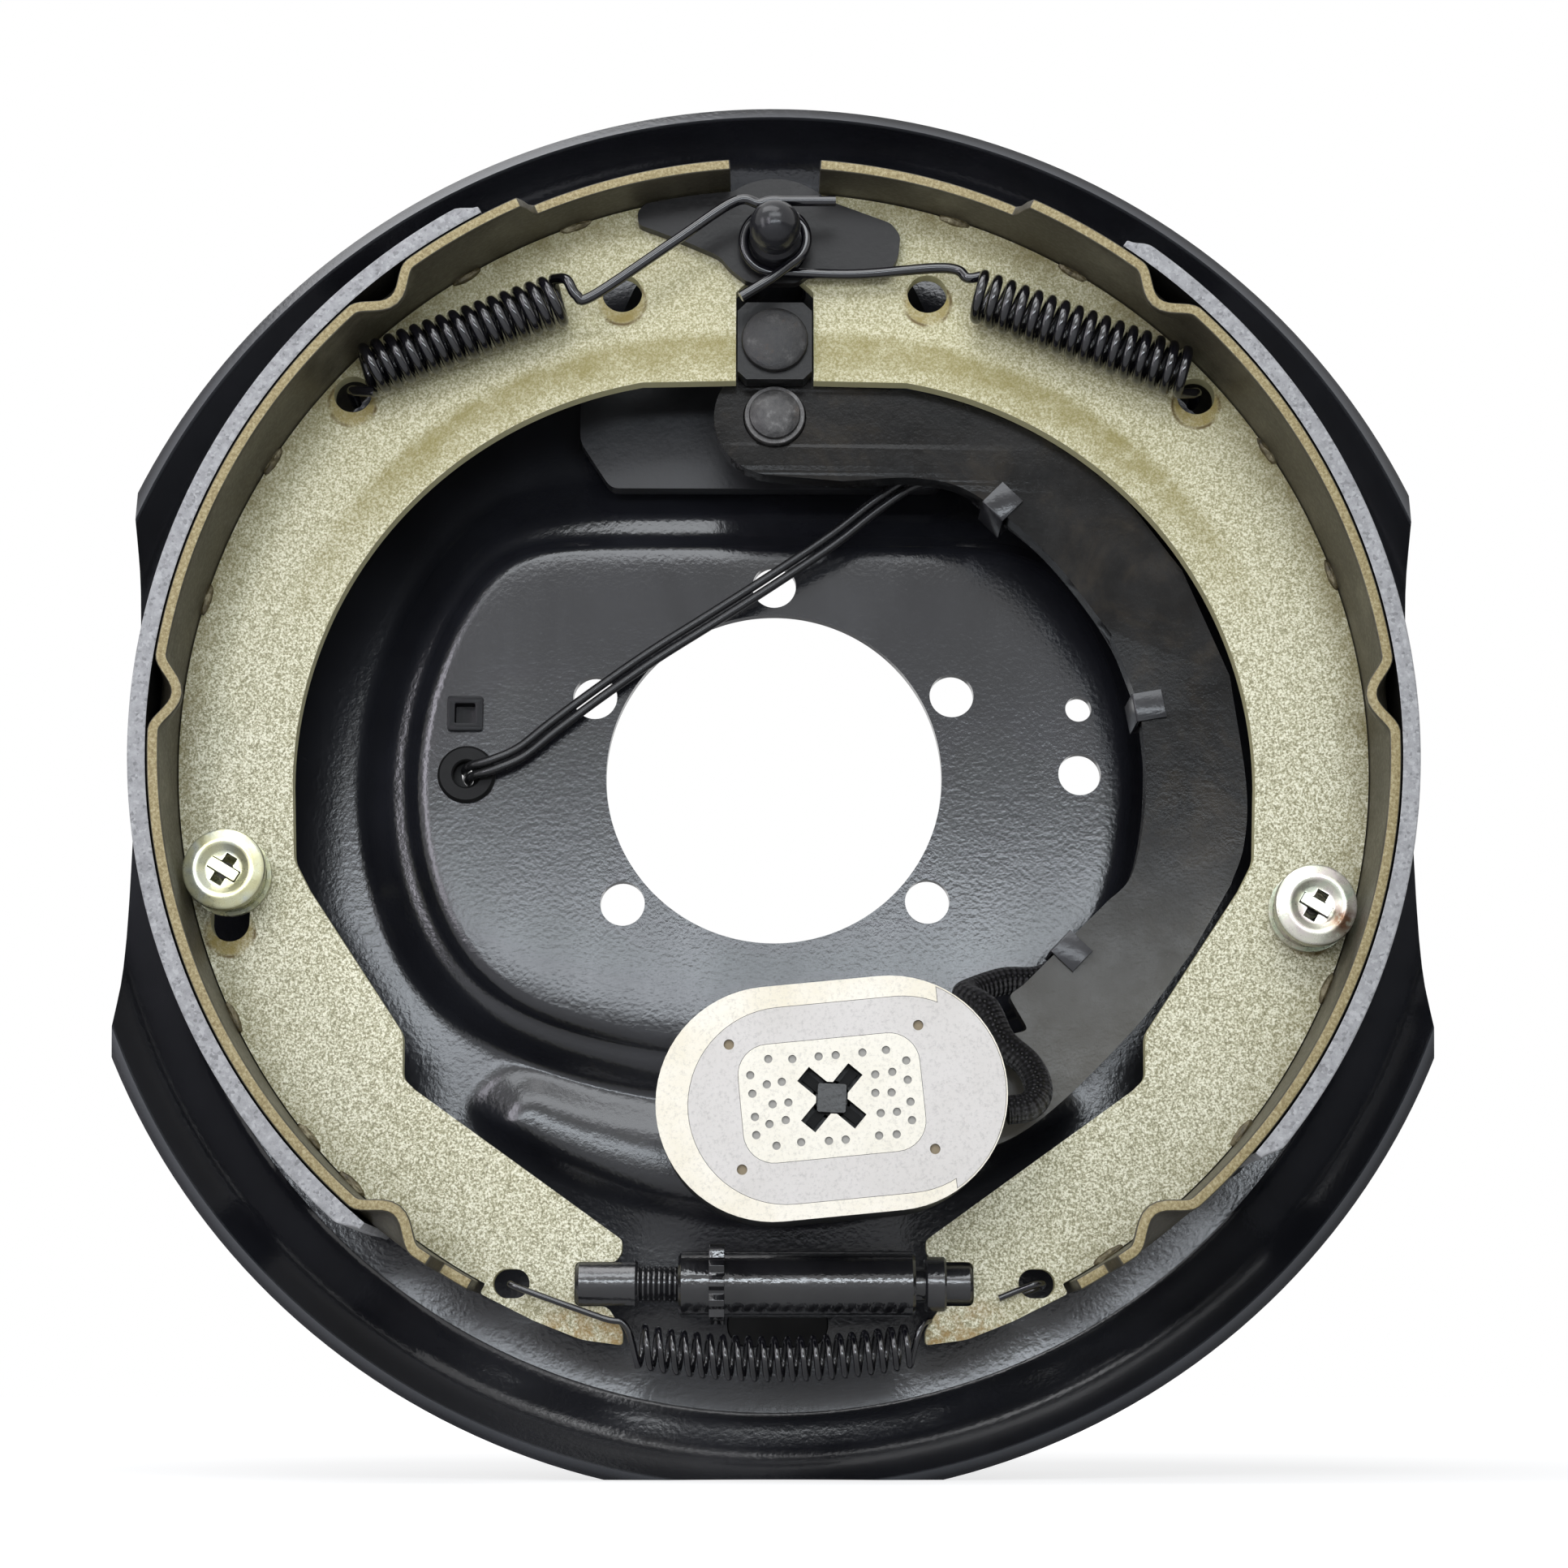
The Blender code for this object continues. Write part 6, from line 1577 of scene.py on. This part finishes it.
def build_hold_down(side_name, at, first, second, third, rust_at):
    low = WEB_FRONT + GAP
    high = low + HOLD_HEIGHT
    bore = HOLD_PIN + GAP
    place = (*at, 0.0)
    well = high - HOLD_WELL
    zinc = iridescent(side_name + "_zinc", first, second, third, rust_at, (*at, well))
    rear = [
        (HOLD_CUP, low + HOLD_CUP_DEEP), (HOLD_CUP, low + 0.0006), (HOLD_CUP - 0.0006, low),
        (bore, low), (bore, low + HOLD_SHEET), (HOLD_CUP - 0.0014, low + HOLD_SHEET),
        (HOLD_CUP - 0.001, low + 0.0013), (HOLD_CUP - 0.001, low + HOLD_CUP_DEEP),
    ]
    rear_cup = turned(side_name + "_rear_cup", rear, place, 64, closed=True)
    show(rear_cup, "backing", zinc, side_name + "_hold_down_rear_cup")
    skirt, under = high - HOLD_CUP_DEEP - 0.001, high - HOLD_UNDER
    front = [
        (bore, well), (0.0042, well), (0.0046, well + 0.0002), (0.0058, high - 0.0004),
        (0.0062, high - 0.0001), (0.0067, high), (0.0074, high - 0.0001), (0.0078, high - 0.0004),
        (0.0091, high - 0.0006), (0.0096, high - 0.001), (HOLD_CUP, high - 0.0016),
        (HOLD_CUP, skirt), (HOLD_CUP - 0.0009, skirt), (HOLD_CUP - 0.0009, under), (bore, under),
    ]
    front_cup = turned(side_name + "_front_cup", front, place, 64, closed=True)
    cross = millimetres((3.9, 1.5), (1.5, 1.5), (1.5, 3.8))
    upper = cross + mirrored(cross[::-1], -1)
    loop = upper + [(-a, -b) for a, b in upper]
    loop = placed(loop, HOLD_CROSS_TURN, at)
    front_cup = cut(front_cup, flat("cross", [loop], well - 0.003, high + 0.002))
    show(front_cup, "backing", zinc, side_name + "_hold_down_front_cup")
    start = (*at, low + HOLD_SHEET + GAP + HOLD_SPRING_WIRE)
    end = (*at, high - HOLD_UNDER - GAP - HOLD_SPRING_WIRE)
    spring = wire(
        side_name + "_cup_spring", coil(start, end, HOLD_SPRING_RADIUS - 0.0008, 3.0),
        HOLD_SPRING_WIRE,
    )
    show(spring, "backing", zinc, side_name + "_hold_down_spring", WIRE_CREASE)
    pin = turned("nail", rivet_profile(HOLD_PIN, high - 0.0034, FLOOR_REAR), place, 32)
    tee = soft_box(at, *NAIL_HEAD, 0.0003, HOLD_CROSS_TURN, 1)
    pin = merged(pin, flat("tee", [tee], high - 0.0036, high - 0.0007))
    pin.name = side_name + "_nail"
    pin = bevelled(pin, 0.0002, 1, STEEP)
    show(pin, "backing", zinc, side_name + "_hold_down_pin")


def build_plugs():
    rubber = plain("grommet_rubber", (0.005, 0.005, 0.005), 0.5)
    front, back = PLATE_THICK + GAP, -GAP
    lip, body = 0.0012, GROMMET_HOLE - GAP
    shape = [
        (GROMMET_LIP - 0.0007, front + lip), (GROMMET_LIP - 0.0001, front + lip * 0.5),
        (GROMMET_LIP, front), (body, front), (body, back), (GROMMET_LIP, back),
        (GROMMET_LIP - 0.0001, back - lip * 0.5), (GROMMET_LIP - 0.0007, back - lip),
        (GROMMET_BORE + 0.0004, back - lip), (GROMMET_BORE, back - lip + 0.0004),
        (GROMMET_BORE, front + lip - 0.0004), (GROMMET_BORE + 0.0004, front + lip),
    ]
    made = turned("grommet", shape, (*GROMMET_AT, 0.0), 56, closed=True)
    room = stadium(
        GROMMET_AT, 2 * (LEAD_SPACING + LEAD_RADIUS) + 0.0004, 2 * LEAD_RADIUS + 0.0004, 100
    )
    # A thin black rubber sheet across the bore, slit for the leads, stands in for the shade behind
    # the plate seen through it.
    darkening = flat("darkening", [circle(GROMMET_AT, GROMMET_BORE), room], 0.0008, 0.0014)
    made = joined("grommet", [made, darkening])
    show(made, "backing", rubber, "wire_grommet")

    half = PLUG_HALF - GAP
    plug = flat(
        "peg", [soft_box(PLUG_AT, 2 * half, 2 * half, 0.0005, 0, 1)], -0.0016, PLATE_THICK + GAP
    )
    wide = 2 * PLUG_HALF + 0.0022
    cap = flat(
        "cap", [soft_box(PLUG_AT, wide, wide, 0.0008, 0, 1)], PLATE_THICK + GAP / 2 + 0.0001,
        PLATE_THICK + 0.0012,
    )
    plug = merged(plug, cap)
    well = flat(
        "well", [soft_box(PLUG_AT, 0.0052, 0.0052, 0.0004, 0, 1)], 0.0004, PLATE_THICK + 0.01
    )
    plug = bevelled(cut(plug, well), 0.0003, 2)
    show(plug, "backing", plain("plug_plastic", (0.006, 0.006, 0.007), 0.3), "square_plug")

    low, high = FLOOR_REAR - 0.0018, FLOOR_FRONT + GAP
    body = stadium(SLOT_PLUG_AT, SLOT_PLUG_LONG - 2 * GAP, SLOT_PLUG_WIDE - 2 * GAP, 0, 5)
    plug = flat("slot_peg", [body], low, high + 0.0008)
    cap = stadium(SLOT_PLUG_AT, SLOT_PLUG_LONG + 0.004, SLOT_PLUG_WIDE + 0.004, 0, 5)
    plug = merged(plug, flat("slot_cap", [cap], low - 0.0008, FLOOR_REAR - GAP))
    plug = bevelled(plug, 0.0004, 2)
    show(plug, "backing", plain("slot_plug_rubber", (0.01, 0.01, 0.01), 0.55), "adjuster_slot_plug")


SLEEVE_ROUTE = millimetres(
    (52, 70, 0), (70, 55, 0), (86, 33, 0), (93.5, 12, 0), (94.5, -8, 0), (91, -29, 0),
    (80.8, -43, 0), (66.8, -53.2, 0), (56, -54.5, 1), (48, -57.5, 5), (46.2, -59.5, 10),
    (50.5, -63.2, 15), (54, -71, 17.2), (60, -77, 19), (62, -83, 21.5), (59.5, -87, 23.5),
    (54.2, -88, 24),
)
LEAD_ROUTE = millimetres(
    (46.5, 73.5, 18.5), (37, 74.5, 17), (27, 69, 15), (15, 60, 12.5), (-1, 49.5, 10),
    (-16, 40, 8.5), (-31, 30.5, 7.5), (-45, 20.5, 7), (-56, 12, 7), (-64, 5.5, 7),
    (-71, 2.2, 7.5), (-76, 1, 6.2), (-77.8, 0.5, 2.5), (-77.8, 0.5, -3), (-77.9, -1, -8),
    (-78, -5, -12.5), (-78, -11, -15), (-78, -22, -15.8), (-78, -50, -16), (-78, -90, -16),
    (-78, -130, -16),
)


def lead_route(side):
    route = []
    places = [Vector(p) for p in LEAD_ROUTE]
    last = Vector((0.0, 1.0, 0.0))
    for k, place in enumerate(places):
        along = places[min(k + 1, len(places) - 1)] - places[max(k - 1, 0)]
        across = Vector((0.0, 0.0, 1.0)).cross(along)
        across.z = 0.0
        if across.length < 0.002:
            across = last
        across.normalize()
        if across.dot(last) < 0:
            across = -across
        across = (across + last).normalized()
        last = across
        route.append(tuple(place + side * LEAD_SPACING * across))
    return route


def free_wire(name, points, radius, material, body, node):
    """A cord as a curve in world coordinates, with its length measured from its points."""
    places = [Vector(world(*p)) for p in points]
    drawn = round_curve(name, places, radius)
    drawn.splines[0].use_smooth = True
    drawn.materials.append(material)
    made = mesh_object(name, drawn)
    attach(made, body)
    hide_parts(node)
    length = sum((b - a).length for a, b in zip(places, places[1:]))
    tuple(places[0])


def build_wiring():
    insulation = Look("lead_insulation", IOR=1.5)
    insulation.coat(
        (0.01, 0.01, 0.011), insulation.spread(insulation.noise(300.0, 3.0), 0.2, 0.34)
    )
    insulation.bump(insulation.noise(500.0, 2.0), 0.05, 0.0003)
    for number, side in enumerate((-1, 1), 1):
        points = curved(lead_route(side), 6)
        free_wire(
            f"lead_{number}", points, LEAD_RADIUS, insulation.material, "backing",
            f"lead_wire_{number}",
        )

    points = curved([(x, y, SLEEVE_HEIGHT + h) for x, y, h in SLEEVE_ROUTE], 8)
    rings = [Vector(p) for p in points]
    mesh = bpy.data.meshes.new("sleeve")
    shape = bmesh.new()
    around, rows = SLEEVE_SIDES, []
    across = Vector((0.0, 0.0, 1.0))
    for k, place in enumerate(rings):
        along = (rings[min(k + 1, len(rings) - 1)] - rings[max(k - 1, 0)]).normalized()
        across = (across - along * across.dot(along)).normalized()
        other = along.cross(across)
        rows.append([
            shape.verts.new(place + SLEEVE_RADIUS * (math.cos(a) * across + math.sin(a) * other))
            for a in (2 * math.pi * j / around for j in range(around))
        ])
    layer = shape.loops.layers.uv.new("along")
    lengths = [0.0]
    for a, b in zip(rings, rings[1:]):
        lengths.append(lengths[-1] + (b - a).length)
    for k in range(len(rows) - 1):
        for j in range(around):
            corners = ((k, j), (k, j + 1), (k + 1, j + 1), (k + 1, j))
            face = shape.faces.new([rows[a][b % around] for a, b in corners])
            for loop, (a, b) in zip(face.loops, corners):
                loop[layer].uv = (b / around, lengths[a] / BRAID_LENGTH)
    shape.faces.new(rows[0][::-1])
    shape.faces.new(rows[-1])
    bmesh.ops.recalc_face_normals(shape, faces=shape.faces)
    shape.to_mesh(mesh)
    shape.free()
    sleeve = mesh_object("woven_sleeve", mesh)
    look = Look("sleeve_braid")
    uv = look.node("UVMap", uv_map="along").outputs["UV"]
    parts = look.node("SeparateXYZ", {0: uv}).outputs
    weave = []
    for sign in (1.0, -1.0):
        slant = look.math(
            "ADD", look.times(parts["X"], BRAID_STRANDS * sign),
            look.times(parts["Y"], BRAID_STRANDS),
        )
        weave.append(look.math("SINE", look.times(slant, 2 * math.pi)))
    crossing = look.times(weave[0], weave[1])
    threads = look.math("SINE", look.times(parts["X"], 2 * math.pi * BRAID_THREADS))
    height = look.math("ADD", crossing, look.times(threads, 0.25))
    shown = look.level(height, -1.0, 1.0)
    look.coat(look.ramp(shown, (0.25, (0.002, 0.002, 0.002)), (0.85, (0.03, 0.028, 0.032))), 0.26)
    look.bump(shown, 1.0, 0.0016)
    show(sleeve, "lever", look.material, "braided_sleeve", WIRE_CREASE)


def stage_floor():
    """A pale floor and a backdrop that the camera, and shiny things, see as white."""
    pale = Look("pale_floor")
    pale.feed("Base Color", FLOOR_TONE)
    pale.feed("Roughness", 0.9)
    away = pale.node("VectorMath", {0: pale.coordinates}, operation="LENGTH").outputs["Value"]
    seen = pale.node("Emission", {"Strength": pale.level(away, 0.25, 0.75, 0.72, 1.0)})
    dim = pale.node("BsdfDiffuse", {"Color": (0.45, 0.45, 0.45)})
    both = pale.node("AddShader", {0: seen.outputs[0], 1: dim.outputs[0]})
    path = pale.node("LightPath").outputs
    pick = {0: path["Is Camera Ray"], 1: pale.shader.outputs[0], 2: both.outputs[0]}
    surface_in = pale.tree.nodes["Material Output"].inputs["Surface"]
    pale.link(pale.node("MixShader", pick).outputs[0], surface_in)
    mesh = bpy.data.meshes.new("floor")
    low, far = -FLAT_FOOT - 0.0001, FLOOR_HALF
    corners = [(x, y, low) for x, y in ((-far, -far), (far, -far), (far, far), (-far, far))]
    mesh.from_pydata(corners, [], [(0, 1, 2, 3)])
    mesh.materials.append(pale.material)
    mesh_object("floor", mesh)

    sky = bpy.data.worlds.new("studio")
    bpy.context.scene.world = sky
    sky.use_nodes = True
    sky.node_tree.nodes.clear()
    graph = Graph(sky.node_tree)
    path = graph.node("LightPath").outputs
    white = path["Is Camera Ray"]
    for ray in ("Is Glossy Ray", "Is Transmission Ray"):
        white = graph.node("Math", {0: white, 1: path[ray]}, operation="MAXIMUM").outputs[0]
    soft = graph.node("Background", {"Color": (0.97, 0.98, 1.0), "Strength": 0.28})
    bright = graph.node("Background", {"Color": (1, 1, 1), "Strength": 1.0})
    pick = {0: white, 1: soft.outputs[0], 2: bright.outputs[0]}
    mixed = graph.node("MixShader", pick).outputs[0]
    graph.node("OutputWorld", {"Surface": mixed})


def lamp(name, at, target, size, power, colour):
    light = bpy.data.lights.new(name, "AREA")
    light.shape = "RECTANGLE"
    light.size, light.size_y = size
    light.energy = power
    light.color = colour
    held = mesh_object(name, light)
    held.location = at
    held.rotation_euler = (Vector(target) - Vector(at)).to_track_quat("-Z", "Y").to_euler()


def stage_lights():
    lamp("front", (0.03, -1.1, 0.09), (0, 0, 0), (0.8, 0.12), 3.0, (0.86, 0.93, 1.0))
    lamp("left", (-0.52, -1.00, 0.2), (-0.05, 0, 0.02), (0.12, 0.5), 1.7, (0.92, 0.89, 1.0))
    lamp("above", (0.0, -1.00, 0.68), (0, 0, 0.05), (0.9, 0.36), 4.4, (0.92, 0.96, 1.0))
    lamp("overhead", (-0.25, -0.45, 1.00), (0, 0, 0), (1.0, 0.5), 4.8, (0.97, 0.98, 1.0))
    lamp("side", (-0.9, -0.6, 0.1), (0, 0, 0), (0.2, 0.8), 1.8, (0.95, 0.92, 1.0))


def stage_camera():
    data = bpy.data.cameras.new("camera")
    data.lens = FOCAL_PIXELS * SENSOR_WIDTH / PHOTO_PIXELS
    data.sensor_width = SENSOR_WIDTH
    data.sensor_fit = "HORIZONTAL"
    data.clip_start = 0.01
    held = mesh_object("camera", data)
    held.location = CAMERA_AT
    held.rotation_euler = (math.radians(90 + CAMERA_TILT), 0.0, math.radians(CAMERA_TURN))
    bpy.context.scene.camera = held


stage_camera()
stage_floor()
stage_lights()
build_wiring()
build_plate()
build_anchor()
for side, body, name in ((-1, "secondary_shoe", "secondary"), (1, "primary_shoe", "primary")):
    hold, run = (SECONDARY_HOLD_AT, 0.011) if side < 0 else (PRIMARY_HOLD_AT, 0.002)
    build_web(side, hold, run, body, name + "_shoe_web")
    build_table(side, body, name + "_shoe_table")
    build_lining(side, SECONDARY_LINING if side < 0 else PRIMARY_LINING, body, name + "_lining")
    build_welds(side, body, name + "_welds")
build_lever()
build_magnet()
build_springs()
build_adjuster()
gold = ((0.69, 0.66, 0.38), (0.74, 0.74, 0.51), (0.67, 0.7, 0.6))
silver = ((0.68, 0.78, 0.62), (0.82, 0.81, 0.68), (0.79, 0.71, 0.68))
build_hold_down("secondary", SECONDARY_HOLD_AT, *gold, None)
build_hold_down(
    "primary", PRIMARY_HOLD_AT, *silver,
    world(PRIMARY_HOLD_AT[0] + 0.006, PRIMARY_HOLD_AT[1] - 0.004, 0.046),
)
build_plugs()

bpy.context.scene.view_settings.view_transform = "Standard"
